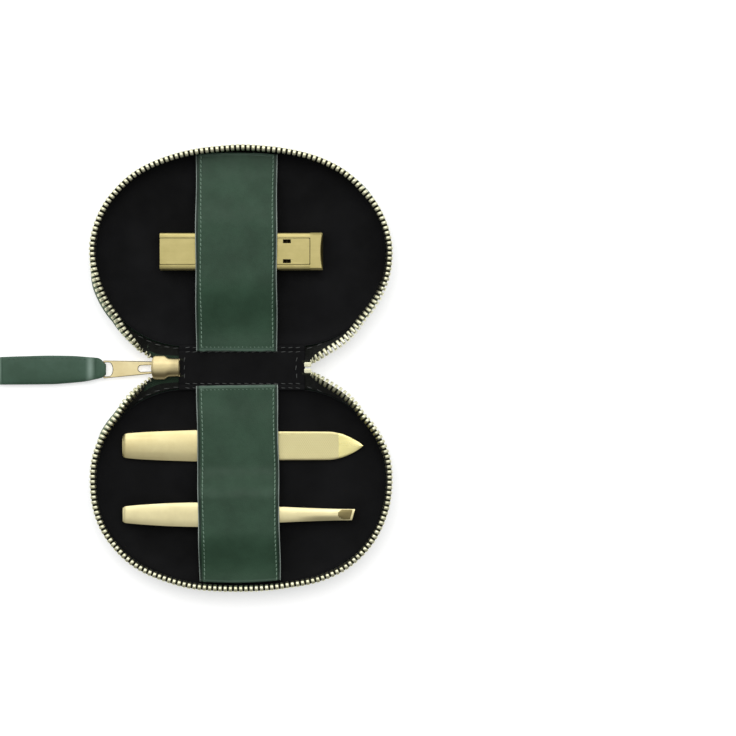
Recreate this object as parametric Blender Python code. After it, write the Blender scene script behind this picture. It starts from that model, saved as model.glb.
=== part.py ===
"""Manicure set case: an oval zip case, open flat, with a clipper, a nail file and tweezers.

X runs along the spine, Y from the base half (front at -Y) to the cover half, Z up.
The origin is the middle of the base half's flat underside. The cover half is the
mirror image of the base half in the middle line of the spine.
"""
import math

import bmesh
import bpy
from mathutils import Vector

MM = 0.001

# Clearances
GAP = 0.3 * MM                      # between neighbouring pieces
FOLD_CLEARANCE = 0.1 * MM           # from the panel's lining up to the fold axis
CLOSED_CLEARANCE = 0.2 * MM         # from the straps to the plane where the halves meet
TEETH_CLEARANCE = 0.15 * MM         # from the teeth to that plane
CUT_OVERRUN = 1.0 * MM              # how far a cutter passes a face
JOIN_OVERLAP = 0.2 * MM             # how far joined shapes run into each other

# Edges that stay sharp, in degrees between faces
CURVED_PIECE_ANGLE = 35.0
TOOL_ANGLE = 25.0
BEVEL_ANGLE = 40.0

# Rim of one half, to the outside of the teeth
RIM_HALF_WIDTH = 55.0 * MM
RIM_FRONT_DEPTH = 40.0 * MM
RIM_BACK_DEPTH = 35.9 * MM
BACK_CORNER_WIDTH = 35.0 * MM
FRONT_EXPONENT = 2.3                # of the outline: 2 is an ellipse, and more is squarer
BACK_EXPONENT = 2.05
RIM_POINTS = 48

# Panel layers
LEATHER_THICKNESS = 1.0 * MM
STIFFENER_THICKNESS = 1.1 * MM
LINING_THICKNESS = 0.5 * MM
PANEL_EDGE_INSET = 0.4 * MM
PANEL_EDGE_LIFT = 2.6 * MM
PANEL_DOME_WIDTH = 14.0 * MM
FLOOR_DOME_WIDTH = 7.2 * MM
PANEL_ROW_SHARES = (1.0, 0.65, 0.36, 0.16, 0.045, 0.0)
FLOOR_ROW_SHARES = (1.0, 0.62, 0.32, 0.1, 0.0)

# Zip
TAPE_THICKNESS = 0.6 * MM
TAPE_FLANGE_THICKNESS = 0.5 * MM
TAPE_FLANGE_REACH = 3.5 * MM
TOOTH_WIDTH = 2.4 * MM
TOOTH_HEIGHT = 2.85 * MM
TOOTH_PITCH = 1.9 * MM
TOOTH_LENGTH = 0.95 * MM
VALLEY_WIDTH = 1.1 * MM
VALLEY_DROP = 0.9 * MM
RIGID_RIM_END_INSET = 9.0 * MM      # from the rim's side in to where its back starts to bend
TAPE_STATIONS = 45
END_START_GAP = 0.7 * MM            # from the stiff rim's last tooth to the bending end

# Middle of the chain between the rim and the spine: in from the rim's side, off the spine's middle
LEFT_END_ROUTE = ((12.4 * MM, 13.2 * MM), (18.3 * MM, 6.9 * MM))
LEFT_END_OFFSET = 4.4 * MM
RIGHT_END_ROUTE = ((12.7 * MM, 13.6 * MM), (18.0 * MM, 8.75 * MM))
RIGHT_END_OFFSET = 2.3 * MM

# Spine
SPINE_LEFT_INSET = 33.5 * MM        # from the rim's side in to the spine's end
SPINE_RIGHT_INSET = 31.9 * MM
SPINE_LEATHER_THICKNESS = 1.0 * MM
SPINE_LINING_THICKNESS = 0.6 * MM

# Stops
TOP_STOP_LENGTH = 2.6 * MM
TOP_STOP_WIDTH = 2.0 * MM
BOTTOM_STOP_LENGTH = 4.7 * MM
BOTTOM_STOP_WIDTH = 3.0 * MM
BOTTOM_STOP_HEIGHT = 1.8 * MM
STOP_BEVEL = 0.3 * MM

# Straps
STRAP_WIDTH = 30.6 * MM
STRAP_THICKNESS = 1.0 * MM
STRAP_FOOT_INSET = 2.9 * MM
STRAP_FOOT_LENGTH = 1.6 * MM
STRAP_TOOL_MARGIN = 0.7 * MM
BASE_STRAP_X = -0.4 * MM
COVER_STRAP_X = -1.5 * MM
STRAP_STATIONS = 26

# Slider, in the plane of the open zip
SLIDER_LENGTH = 11.6 * MM
SLIDER_NOSE_WIDTH = 9.2 * MM
SLIDER_TAIL_WIDTH = 7.2 * MM
SLIDER_NOSE_LENGTH = 5.6 * MM
SLIDER_PLATE_THICKNESS = 0.9 * MM
SLIDER_CHANNEL_HEIGHT = 2.8 * MM
SLIDER_LIP_DEPTH = 0.8 * MM
SLIDER_LIP_WIDTH = 0.7 * MM
DIAMOND_LENGTH = 3.2 * MM
DIAMOND_WIDTH = 2.4 * MM
DIAMOND_SETBACK = 0.5 * MM
SLIDER_CORNER = 1.2 * MM
CROWN_LENGTH = 6.8 * MM
CROWN_WIDTH = 2.2 * MM
CROWN_STRIP = 0.8 * MM
CROWN_SETBACK = 0.8 * MM
CROWN_OPENING = 1.3 * MM

# Puller
PULLER_LENGTH = 21.4 * MM
PULLER_THICKNESS = 0.8 * MM
PULLER_WIDE_WIDTH = 6.4 * MM
PULLER_NARROW_WIDTH = 4.5 * MM
PULLER_BAR = 0.8 * MM
PULLER_SLOT_LENGTH = 7.4 * MM
PULLER_EYE_BAR = 1.1 * MM
PULLER_EYE_LENGTH = 3.1 * MM
PULLER_RAIL = 0.9 * MM
PULLER_BAR_SETBACK = 3.2 * MM       # from the slider's nose back to the bar in the crown

# Leather pull tab
TAB_LENGTH = 38.3 * MM
TAB_WIDTH = 10.3 * MM
TAB_SHOULDER_WIDTH = 7.0 * MM
TAB_SHOULDER_LENGTH = 5.5 * MM
TAB_THICKNESS = 2.4 * MM
TAB_LOOP_THICKNESS = 0.8 * MM
TAB_NECK_LENGTH = 0.9 * MM
TAB_CORNER = 0.8 * MM

# Badge on the outside of the cover
BADGE_SIZE = 8.5 * MM
BADGE_SIDE_INSET = 22.0 * MM        # from the rim's side in to the badge's middle
BADGE_FORWARD = 11.3 * MM
BADGE_BORDER = 0.8 * MM
BADGE_DEPTH = 0.7 * MM
BADGE_FRAME_THICKNESS = 0.5 * MM
BADGE_FIELD_THICKNESS = 0.35 * MM
BADGE_POCKET_GAP = 0.15 * MM

# Nail file: x of each station from its handle end, half width
FILE_LENGTH = 88.8 * MM
FILE_START_X = -43.7 * MM
FILE_Y = 13.4 * MM
FILE_HALF_WIDTH = 5.75 * MM
FILE_HANDLE_THICKNESS = 2.0 * MM
FILE_BLADE_THICKNESS = 1.3 * MM
FILE_CROWN = 0.7 * MM
FILE_RISE = 0.2 * MM                # clear of the floor's rounded edge
FILE_STATION_SHARES = (
    (0.0, 0.62), (0.006, 0.72), (0.02, 0.78), (0.1, 0.87), (0.22, 0.96), (0.33, 1.0),
    (0.45, 0.98), (0.6, 0.92), (0.86, 0.9), (0.9, 0.8), (0.94, 0.6), (0.975, 0.34), (1.0, 0.05),
)
FILE_BLADE_CROWN = 0.25 * MM
FILE_BLADE_START_SHARE = 0.4
FILE_BLADE_EASE_SHARE = 0.15

# Tweezers
TWEEZERS_LENGTH = 85.5 * MM
TWEEZERS_START_X = -43.4 * MM
TWEEZERS_Y = -11.9 * MM
TWEEZERS_HALF_WIDTH = 4.4 * MM
TWEEZERS_HEIGHT = 6.0 * MM
TWEEZERS_ARM_THICKNESS = 1.2 * MM
TWEEZERS_TIP_GAP = 1.6 * MM
TWEEZERS_TIP_SLANT = 1.1 * MM
TWEEZERS_CROWN = 0.4 * MM
TWEEZERS_TAIL_GAP = 0.3 * MM
TWEEZERS_STATION_SHARES = (
    (0.0, 0.56), (0.008, 0.68), (0.022, 0.72), (0.1, 0.84), (0.22, 0.96), (0.33, 1.0),
    (0.45, 0.93), (0.56, 0.8), (0.68, 0.64), (0.8, 0.54), (0.9, 0.48), (0.96, 0.46), (1.0, 0.45),
)
TWEEZERS_BELLY_SHARE = 0.45
TWEEZERS_SLANT_START_SHARE = 0.9

# Nail clipper
CLIPPER_LENGTH = 60.0 * MM
CLIPPER_START_X = -29.7 * MM
CLIPPER_FROM_FOLD = 36.5 * MM       # from the cover's fold line to the clipper's middle line
CLIPPER_WIDTH = 14.0 * MM
CLIPPER_HEIGHT = 6.6 * MM
JAW_THICKNESS = 1.1 * MM
JAW_SPACE = 1.2 * MM                # between the two jaws at the tail
BLADE_GAP = 0.8 * MM
BLADE_LENGTH = 4.6 * MM
BLADE_HOLLOW = 0.9 * MM             # how far the cutting edge curves in
BLADE_EDGE = 0.4 * MM
BLADE_ROOT_CLEARANCE = 0.9 * MM      # between the jaws where the blades start
BLADE_MIDDLE_CLEARANCE = 0.75 * MM
BLADE_RAMP = 5.0 * MM
RAIL_WIDTH = 1.8 * MM
RAIL_ROUND = 0.7 * MM
LEVER_THICKNESS = 1.1 * MM
LEVER_INSET = 0.5 * MM
LEVER_SIDE_GAP = 0.4 * MM
LEVER_NOSE = 8.1 * MM               # from the hinge pin to the lever's short end
LEVER_NOSE_GAP = 0.5 * MM
LEVER_SINK = 0.1 * MM
PIN_RADIUS = 0.5 * MM
PIN_DROP = 2.1 * MM                 # from the top of the clipper down to the pin
LUG_THICKNESS = 0.8 * MM
LUG_WALL = 0.5 * MM
LUG_INSET = 1.9 * MM
SLOT_LENGTH = 2.9 * MM
SLOT_WIDTH = 1.4 * MM
SLOT_EDGE = 0.45 * MM
RIVET_RADIUS = 1.2 * MM
RIVET_COLLAR_RADIUS = 2.2 * MM
RIVET_FROM_TAIL = 3.4 * MM
RIVET_SINK = 0.1 * MM
ROUND_SIDES = 20
HOLLOW_SIDES = 120
CURVE_STEPS = 240

# Places worked out from the sizes above
BACK_STRAIGHT_HALF = RIM_HALF_WIDTH - BACK_CORNER_WIDTH
RIGID_RIM_END_X = RIM_HALF_WIDTH - RIGID_RIM_END_INSET
SPINE_LEFT = RIM_HALF_WIDTH - SPINE_LEFT_INSET
SPINE_RIGHT = RIM_HALF_WIDTH - SPINE_RIGHT_INSET
BADGE_X = RIM_HALF_WIDTH - BADGE_SIDE_INSET
RIM_MIDDLE_INSET = TOOTH_WIDTH / 2
LINING_INSET = RIM_MIDDLE_INSET + TAPE_THICKNESS / 2 + GAP
LINING_UNDER_Z = LEATHER_THICKNESS + GAP + STIFFENER_THICKNESS + GAP
FLOOR_Z = LINING_UNDER_Z + LINING_THICKNESS
LEATHER_EDGE_Z = PANEL_EDGE_LIFT + LEATHER_THICKNESS
LINING_EDGE_Z = LEATHER_EDGE_Z + GAP + TAPE_FLANGE_THICKNESS + GAP + LINING_THICKNESS
FOLD_Z = LINING_EDGE_Z + FOLD_CLEARANCE
TOOL_Z = FLOOR_Z + GAP
CLIPPER_TOP_Z = TOOL_Z + CLIPPER_HEIGHT
TWEEZERS_TOP_Z = TOOL_Z + TWEEZERS_HEIGHT
FILE_Z = TOOL_Z + FILE_RISE
FILE_TOP_Z = FILE_Z + FILE_HANDLE_THICKNESS
TALLEST_Z = max(CLIPPER_TOP_Z, TWEEZERS_TOP_Z, FILE_TOP_Z)
MEETING_Z = TALLEST_Z + GAP + STRAP_THICKNESS + CLOSED_CLEARANCE
SPINE_WIDTH = 2 * (MEETING_Z - FOLD_Z)
BASE_FOLD_Y = RIM_BACK_DEPTH
COVER_FOLD_Y = BASE_FOLD_Y + SPINE_WIDTH
SPINE_MIDDLE_Y = BASE_FOLD_Y + SPINE_WIDTH / 2
COVER_MIDDLE_Y = COVER_FOLD_Y + RIM_BACK_DEPTH
TEETH_TOP_Z = MEETING_Z - TEETH_CLEARANCE
TEETH_FOOT_Z = TEETH_TOP_Z - TOOTH_HEIGHT
TAPE_TOP_Z = TEETH_FOOT_Z - GAP
END_FOOT_Z = LEATHER_EDGE_Z + GAP + TAPE_THICKNESS / 2
END_TAPE_LENGTH = TEETH_FOOT_Z + TOOTH_HEIGHT / 2 - END_FOOT_Z
CLIPPER_Y = COVER_FOLD_Y + CLIPPER_FROM_FOLD
SPINE_LINING_Z = FOLD_Z - FOLD_CLEARANCE - SPINE_LINING_THICKNESS
SPINE_LEATHER_Z = SPINE_LINING_Z - GAP - SPINE_LEATHER_THICKNESS
SLIDER_TAIL_X = -SPINE_LEFT - GAP
SLIDER_NOSE_X = SLIDER_TAIL_X - SLIDER_LENGTH
CROWN_Z = GAP
BAR_Z = CROWN_Z + CROWN_STRIP + CROWN_OPENING / 2
SLIDER_Z = CROWN_Z + CROWN_STRIP + CROWN_OPENING + GAP
CHANNEL_Z = SLIDER_Z + SLIDER_PLATE_THICKNESS
CHANNEL_MIDDLE_Z = CHANNEL_Z + SLIDER_CHANNEL_HEIGHT / 2
BAR_X = SLIDER_NOSE_X + PULLER_BAR_SETBACK
PULLER_RIGHT_X = BAR_X + PULLER_BAR / 2
PULLER_LEFT_X = PULLER_RIGHT_X - PULLER_LENGTH
EYE_X = PULLER_LEFT_X + PULLER_EYE_BAR / 2
LEVER_PIN_X = CLIPPER_START_X + CLIPPER_LENGTH - BLADE_LENGTH - LEVER_NOSE_GAP - LEVER_NOSE
LEVER_PIN_Z = CLIPPER_TOP_Z - PIN_DROP
RIVET_X = CLIPPER_START_X + RIVET_FROM_TAIL
UPPER_JAW_Z = TOOL_Z + JAW_THICKNESS + JAW_SPACE
UPPER_JAW_TOP_Z = UPPER_JAW_Z + JAW_THICKNESS
BLADE_Z = UPPER_JAW_Z + BLADE_GAP


# Bodies: where each one's joint lies

BODY_PLACES = {
    "base": ("", (0.0, 0.0, 0.0)),
    "spine": ("base", (0.0, BASE_FOLD_Y, FOLD_Z)),
    "cover": ("spine", (0.0, COVER_FOLD_Y, FOLD_Z)),
    "slider": ("spine", (SLIDER_NOSE_X, SPINE_MIDDLE_Y, CHANNEL_MIDDLE_Z)),
    "puller": ("slider", (BAR_X, SPINE_MIDDLE_Y, BAR_Z)),
    "pull_tab": ("puller", (EYE_X, SPINE_MIDDLE_Y, BAR_Z)),
    "nail_file": ("base", (FILE_START_X, FILE_Y, FILE_Z)),
    "tweezers": ("base", (TWEEZERS_START_X, TWEEZERS_Y, TOOL_Z)),
    "tweezers_spring_arm": (
        "tweezers", (TWEEZERS_START_X, TWEEZERS_Y, TOOL_Z + TWEEZERS_HEIGHT / 2)),
    "clipper": ("cover", (CLIPPER_START_X, CLIPPER_Y, TOOL_Z)),
    "clipper_jaw": ("clipper", (RIVET_X, CLIPPER_Y, UPPER_JAW_Z - JAW_SPACE / 2)),
    "clipper_lever": ("clipper_jaw", (LEVER_PIN_X, CLIPPER_Y, LEVER_PIN_Z)),
}


def clear_scene():
    for obj in list(bpy.data.objects):
        bpy.data.objects.remove(obj)


def make_bodies():
    """An empty on each body's joint, parented as the joints are."""
    empties = {}
    for name, (parent, place) in BODY_PLACES.items():
        empty = bpy.data.objects.new(name + "_joint", None)
        bpy.context.collection.objects.link(empty)
        start = Vector(BODY_PLACES[parent][1]) if parent else Vector()
        empty.parent = empties.get(parent)
        empty.location = Vector(place) - start
        empties[name] = empty
    return empties


# Materials

def material(name, colour, roughness, metallic=0.0):
    made = bpy.data.materials.get(name) or bpy.data.materials.new(name)
    made.use_nodes = True
    shader = made.node_tree.nodes["Principled BSDF"]
    shader.inputs["Base Color"].default_value = (*colour, 1.0)
    shader.inputs["Roughness"].default_value = roughness
    shader.inputs["Metallic"].default_value = metallic
    return made


def green_leather():
    return material("green_leather", (0.055, 0.1, 0.07), 0.5)


def black_lining():
    return material("black_lining", (0.009, 0.009, 0.01), 0.75)


def green_tape():
    return material("green_tape", (0.04, 0.075, 0.05), 0.85)


def foam_board():
    return material("foam_board", (0.03, 0.03, 0.03), 0.9)


def pale_gold():
    return material("pale_gold", (0.72, 0.66, 0.4), 0.25, 1.0)


def gold_steel():
    return material("gold_steel", (0.73, 0.62, 0.3), 0.3, 1.0)


def dark_enamel():
    return material("dark_enamel", (0.01, 0.015, 0.012), 0.3)


# Mesh helpers

def solid_mesh(name, points, faces):
    """A mesh whose faces all point out."""
    mesh = bpy.data.meshes.new(name)
    mesh.from_pydata([tuple(p) for p in points], [], faces)
    work = bmesh.new()
    work.from_mesh(mesh)
    bmesh.ops.recalc_face_normals(work, faces=work.faces)
    if work.calc_volume(signed=True) < 0:
        bmesh.ops.reverse_faces(work, faces=work.faces)
    work.to_mesh(mesh)
    work.free()
    return mesh


def loft(rings):
    """Points and faces of a solid skinned over rings of equal count and capped at both ends."""
    count = len(rings[0])
    points = [point for ring in rings for point in ring]
    faces = [list(range(count)), list(range(len(points) - count, len(points)))]
    for row in range(len(rings) - 1):
        for n in range(count):
            after = (n + 1) % count
            low = row * count
            high = low + count
            faces.append([low + n, low + after, high + after, high + n])
    return points, faces


def flat_prism(outline, bottom, top):
    """An upright prism over a plan outline of (x, y) points."""
    return loft([[Vector((x, y, z)) for x, y in outline] for z in (bottom, top)])


def side_prism(outline, middle_y, width):
    """A prism across Y over a side outline of (x, z) points."""
    ends = (middle_y - width / 2, middle_y + width / 2)
    return loft([[Vector((x, y, z)) for x, z in outline] for y in ends])


def box(low, high):
    (x0, y0, z0), (x1, y1, z1) = low, high
    return flat_prism([(x0, y0), (x1, y0), (x1, y1), (x0, y1)], z0, z1)


def round_bar(start, end, radius, sides=ROUND_SIDES):
    """A cylinder between two points."""
    start, end = Vector(start), Vector(end)
    along = (end - start).normalized()
    across = along.orthogonal().normalized()
    other = along.cross(across)
    ring = []
    for n in range(sides):
        turn = math.tau * n / sides
        ring.append(radius * (math.cos(turn) * across + math.sin(turn) * other))
    return loft([[start + p for p in ring], [end + p for p in ring]])


class Maker:
    """Adds pieces to the scene, each under its body's empty."""

    def __init__(self):
        self.empties = make_bodies()

    def piece(self, name, body, shape, finish, smooth=None, bevel=0.0):
        """One named piece from points and faces in world space."""
        origin = Vector(BODY_PLACES[body][1])
        points, faces = shape
        mesh = solid_mesh(name, [Vector(p) - origin for p in points], faces)
        mesh.materials.append(finish)
        obj = bpy.data.objects.new(name, mesh)
        bpy.context.collection.objects.link(obj)
        obj.parent = self.empties[body]
        if smooth is not None:
            mesh.shade_smooth()
            mesh.set_sharp_from_angle(angle=math.radians(smooth))
        if bevel:
            edges = obj.modifiers.new("edges", "BEVEL")
            edges.width = bevel
            edges.limit_method = "ANGLE"
            edges.angle_limit = math.radians(BEVEL_ANGLE)
        return obj

    def guide(self, name, target, shape):
        """A hidden shape that a Boolean on the target reads."""
        mesh = solid_mesh(name, *self.moved(target, shape))
        obj = bpy.data.objects.new(name, mesh)
        bpy.context.collection.objects.link(obj)
        obj.parent = target.parent
        obj.hide_render = True
        obj.display_type = "WIRE"
        return obj

    def moved(self, target, shape):
        points, faces = shape
        body = target.parent.name.removesuffix("_joint")
        origin = Vector(BODY_PLACES[body][1])
        return [Vector(p) - origin for p in points], faces

    def boolean(self, target, name, shape, operation):
        step = target.modifiers.new(name, "BOOLEAN")
        step.operation = operation
        step.solver = "EXACT"
        step.object = self.guide(name, target, shape)

    def cut(self, target, name, shape):
        self.boolean(target, name, shape, "DIFFERENCE")

    def join(self, target, name, shape):
        self.boolean(target, name, shape, "UNION")


# Outline of one half

def rounded_corner(turn, half_width, depth, exponent):
    """A point of a squared-off ellipse."""
    across, along = math.cos(turn), math.sin(turn)
    x = math.copysign(abs(across) ** (2 / exponent), across) * half_width
    y = math.copysign(abs(along) ** (2 / exponent), along) * depth
    return x, y


def trace_outline():
    """The base half's rim, from the middle of its back by the left to the back again."""
    back_width = RIM_HALF_WIDTH - BACK_STRAIGHT_HALF
    left = []
    for step in range(CURVE_STEPS + 1):
        turn = math.pi / 2 * (1 + step / CURVE_STEPS)
        x, y = rounded_corner(turn, back_width, RIM_BACK_DEPTH, BACK_EXPONENT)
        left.append(Vector((x - BACK_STRAIGHT_HALF, y)))
    for step in range(1, CURVE_STEPS + 1):
        turn = math.pi * (1 + step / CURVE_STEPS / 2)
        left.append(
            Vector(rounded_corner(turn, RIM_HALF_WIDTH, RIM_FRONT_DEPTH, FRONT_EXPONENT)))
    right = [Vector((-p.x, p.y)) for p in reversed(left[:-1])]
    return [Vector((0.0, RIM_BACK_DEPTH)), *left, *right, Vector((0.0, RIM_BACK_DEPTH))]


class Rim:
    """The outline by distance along it, with its outward direction."""

    def __init__(self):
        self.points = trace_outline()
        self.marks = [0.0]
        for a, b in zip(self.points, self.points[1:]):
            self.marks.append(self.marks[-1] + (b - a).length)
        self.length = self.marks[-1]

    def at(self, distance):
        distance = distance % self.length
        low, high = 0, len(self.marks) - 1
        while high - low > 1:
            middle = (low + high) // 2
            if self.marks[middle] <= distance:
                low = middle
            else:
                high = middle
        share = (distance - self.marks[low]) / (self.marks[high] - self.marks[low])
        return self.points[low].lerp(self.points[high], share)

    def outward(self, distance):
        reach = TOOTH_PITCH / 2
        along = (self.at(distance + reach) - self.at(distance - reach)).normalized()
        return Vector((along.y, -along.x))

    def inset(self, distance, inset, height):
        """A point a given way inside the outline, at a height."""
        place = self.at(distance) - self.outward(distance) * inset
        return Vector((place.x, place.y, height))

    def ring(self, inset, height):
        steps = [self.length * n / RIM_POINTS for n in range(RIM_POINTS)]
        return [self.inset(step, inset, height) for step in steps]

    def distance_at_x(self, x):
        """How far along the back left the outline reaches a given x."""
        for mark, point in zip(self.marks, self.points):
            if point.x <= x:
                return mark
        return self.length / 2


def on_cover(points):
    """The same points on the cover half, mirrored in the spine's middle line."""
    return [Vector((p.x, 2 * SPINE_MIDDLE_Y - p.y, p.z)) for p in points]


def for_half(half, shape):
    points, faces = shape
    if half == "cover":
        return on_cover(points), faces
    return points, faces


# Panel profile, by distance inside the outline

def bowl(share):
    """Rise of a quarter ellipse: 0 on the flat, 1 at the edge."""
    share = min(max(share, 0.0), 1.0)
    return 1 - math.sqrt(1 - share * share)


def leather_under_z(inset):
    share = 1 - (inset - PANEL_EDGE_INSET) / PANEL_DOME_WIDTH
    return PANEL_EDGE_LIFT * bowl(share)


def leather_top_z(inset):
    return leather_under_z(inset) + LEATHER_THICKNESS


def lining_top_z(inset):
    share = 1 - (inset - LINING_INSET) / FLOOR_DOME_WIDTH
    return FLOOR_Z + (LINING_EDGE_Z - FLOOR_Z) * bowl(share)


def smooth_share(share):
    share = min(max(share, 0.0), 1.0)
    return share * share * (3 - 2 * share)


# Case panels

def leather_shell(rim):
    """The outer leather: flat in the middle, curling up to its edge."""
    insets = [PANEL_EDGE_INSET + PANEL_DOME_WIDTH * share for share in PANEL_ROW_SHARES]
    under = [rim.ring(inset, leather_under_z(inset)) for inset in insets]
    top = [rim.ring(inset, leather_top_z(inset)) for inset in reversed(insets)]
    return loft(under + top)


def lining_shell(rim):
    insets = [LINING_INSET + FLOOR_DOME_WIDTH * share for share in FLOOR_ROW_SHARES]
    under = [rim.ring(inset, lining_top_z(inset) - LINING_THICKNESS) for inset in insets]
    top = [rim.ring(inset, lining_top_z(inset)) for inset in reversed(insets)]
    return loft(under + top)


def stiffener_board(rim):
    """The moulded board between leather and lining, inside the sewn flange of the tape."""
    edge = RIM_MIDDLE_INSET + TAPE_THICKNESS / 2 + TAPE_FLANGE_REACH + 2 * GAP
    flat = PANEL_EDGE_INSET + PANEL_DOME_WIDTH
    middle = (edge + flat) / 2
    under = [rim.ring(inset, leather_top_z(inset) + GAP) for inset in (flat, middle, edge)]
    top_z = [lining_top_z(inset) - LINING_THICKNESS - GAP for inset in (edge, middle)]
    top = [rim.ring(inset, z) for inset, z in zip((edge, middle), top_z)]
    return loft(under + top)


def make_half(maker, rim, half):
    shapes = (
        ("leather_shell", leather_shell, green_leather),
        ("stiffener", stiffener_board, foam_board),
        ("lining", lining_shell, black_lining),
    )
    for name, shape, finish in shapes:
        layer = for_half(half, shape(rim))
        maker.piece(f"{half}_{name}", half, layer, finish(), smooth=CURVED_PIECE_ANGLE)


# Zip

def tape_section():
    """Inset and height round the tape: an upright wall on a flange sewn under the lining."""
    outer = RIM_MIDDLE_INSET - TAPE_THICKNESS / 2
    inner = RIM_MIDDLE_INSET + TAPE_THICKNESS / 2
    flange = inner + TAPE_FLANGE_REACH
    flange_z = leather_top_z(flange) + GAP
    wall_z = leather_top_z(outer) + GAP
    return (
        (outer, wall_z),
        (outer, TAPE_TOP_Z),
        (inner, TAPE_TOP_Z),
        (inner, leather_top_z(inner) + GAP + TAPE_FLANGE_THICKNESS),
        (flange, flange_z + TAPE_FLANGE_THICKNESS),
        (flange, flange_z),
    )


def zip_tape(rim):
    start = rim.distance_at_x(-RIGID_RIM_END_X)
    length = rim.length - 2 * start
    section = tape_section()
    rings = []
    for n in range(TAPE_STATIONS):
        distance = start + length * n / (TAPE_STATIONS - 1)
        rings.append([rim.inset(distance, inset, z) for inset, z in section])
    return loft(rings)


def tooth_marks(length):
    """Distance along a chain and whether a tooth stands there, for whole teeth that fill it."""
    teeth = max(1, round(length / TOOTH_PITCH))
    pitch = length / teeth
    valley = (pitch + TOOTH_LENGTH * pitch / TOOTH_PITCH) / 2
    marks = []
    for tooth in range(teeth):
        start = tooth * pitch
        marks.append((start, True))
        marks.append((start + TOOTH_LENGTH * pitch / TOOTH_PITCH, True))
        if tooth < teeth - 1:
            marks.append((start + valley, False))
    return marks


def zip_chain(rim):
    """The row of teeth along the rigid rim, on its cord."""
    start = rim.distance_at_x(-RIGID_RIM_END_X)
    rings = []
    for mark, tooth in tooth_marks(rim.length - 2 * start):
        half = (TOOTH_WIDTH if tooth else VALLEY_WIDTH) / 2
        top = TEETH_TOP_Z if tooth else TEETH_TOP_Z - VALLEY_DROP
        corners = ((-half, TEETH_FOOT_Z), (-half, top), (half, top), (half, TEETH_FOOT_Z))
        rings.append(
            [rim.inset(start + mark, RIM_MIDDLE_INSET + off, z) for off, z in corners])
    return loft(rings)


def spline_through(points, share):
    """A smooth curve through a few points, by share of its spans."""
    spans = len(points) - 1
    place = min(max(share, 0.0), 1.0) * spans
    n = min(int(place), spans - 1)
    t = place - n
    b, c = points[n], points[n + 1]
    a = points[n - 1] if n else b * 2 - c
    d = points[n + 2] if n + 2 <= spans else c * 2 - b
    return 0.5 * (
        2 * b + (c - a) * t + (2 * a - 5 * b + 4 * c - d) * t * t
        + (3 * b - a - 3 * c + d) * t * t * t)


def end_frames(rim, side):
    """Foot and chain middle along the bending end of the zip, from the rim to the spine."""
    sign = -1.0 if side == "left" else 1.0
    start = rim.distance_at_x(-RIGID_RIM_END_X)
    rim_start = start if side == "left" else rim.length - start
    first = rim.inset(rim_start, RIM_MIDDLE_INSET, 0.0)
    if side == "left":
        route, offset = LEFT_END_ROUTE, LEFT_END_OFFSET
        end_x, end_z = SLIDER_NOSE_X - GAP, CHANNEL_MIDDLE_Z
    else:
        route, offset = RIGHT_END_ROUTE, RIGHT_END_OFFSET
        end_x = SPINE_RIGHT + GAP + TOP_STOP_LENGTH + GAP
        end_z = CHANNEL_MIDDLE_Z
    knots = [Vector((first.x, first.y))]
    for side_inset, off in route:
        knots.append(Vector((sign * (RIM_HALF_WIDTH - side_inset), SPINE_MIDDLE_Y - off)))
    knots.append(Vector((end_x, SPINE_MIDDLE_Y - offset)))
    foot_end = rim.distance_at_x(-abs(end_x))
    foot_span = start - foot_end

    def frame(share):
        chain = spline_through(knots, share)
        along = rim_start + sign * foot_span * share
        foot = rim.inset(along, RIM_MIDDLE_INSET, END_FOOT_Z)
        flat = Vector((chain.x - foot.x, chain.y - foot.y)).length
        rise = math.sqrt(max(END_TAPE_LENGTH ** 2 - flat ** 2, 0.0))
        height = END_FOOT_Z + rise
        if height < end_z:
            height = height + (end_z - height) * smooth_share(share)
        return foot, Vector((chain.x, chain.y, height))

    return frame


def zip_end(rim, side):
    """Tape and teeth of one end, turning from upright at the rim to flat at the spine."""
    frame = end_frames(rim, side)
    steps = [n / CURVE_STEPS for n in range(CURVE_STEPS + 1)]
    path = [frame(step)[1] for step in steps]
    marks = [0.0]
    for a, b in zip(path, path[1:]):
        marks.append(marks[-1] + (b - a).length)
    rings = []
    for mark, tooth in tooth_marks(marks[-1] - END_START_GAP):
        distance = END_START_GAP + mark
        n = max(i for i, m in enumerate(marks) if m <= distance or i == 0)
        share = steps[n]
        foot, chain = frame(share)
        ahead = frame(min(share + steps[1], 1.0))[1]
        behind = frame(max(share - steps[1], 0.0))[1]
        along = (ahead - behind).normalized()
        up = (chain - foot)
        up = (up - along * up.dot(along)).normalized()
        side_way = along.cross(up).normalized()
        half = (TOOTH_WIDTH if tooth else VALLEY_WIDTH) / 2
        tip = TOOTH_HEIGHT / 2 - (0.0 if tooth else VALLEY_DROP)
        neck = chain - up * (TOOTH_HEIGHT / 2)
        thin = TAPE_THICKNESS / 2
        rings.append([
            foot - side_way * thin,
            neck - side_way * thin,
            neck - side_way * half,
            chain + up * tip - side_way * half,
            chain + up * tip + side_way * half,
            neck + side_way * half,
            neck + side_way * thin,
            foot + side_way * thin,
        ])
    return loft(rings)


def make_zip(maker, rim, half):
    tape = for_half(half, zip_tape(rim))
    maker.piece(f"{half}_zip_tape", half, tape, green_tape(), smooth=CURVED_PIECE_ANGLE)
    maker.piece(f"{half}_zip_chain", half, for_half(half, zip_chain(rim)), pale_gold())
    for side in ("left", "right"):
        shape = for_half(half, zip_end(rim, side))
        maker.piece(f"zip_end_{half}_{side}", half, shape, green_tape())


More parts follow.
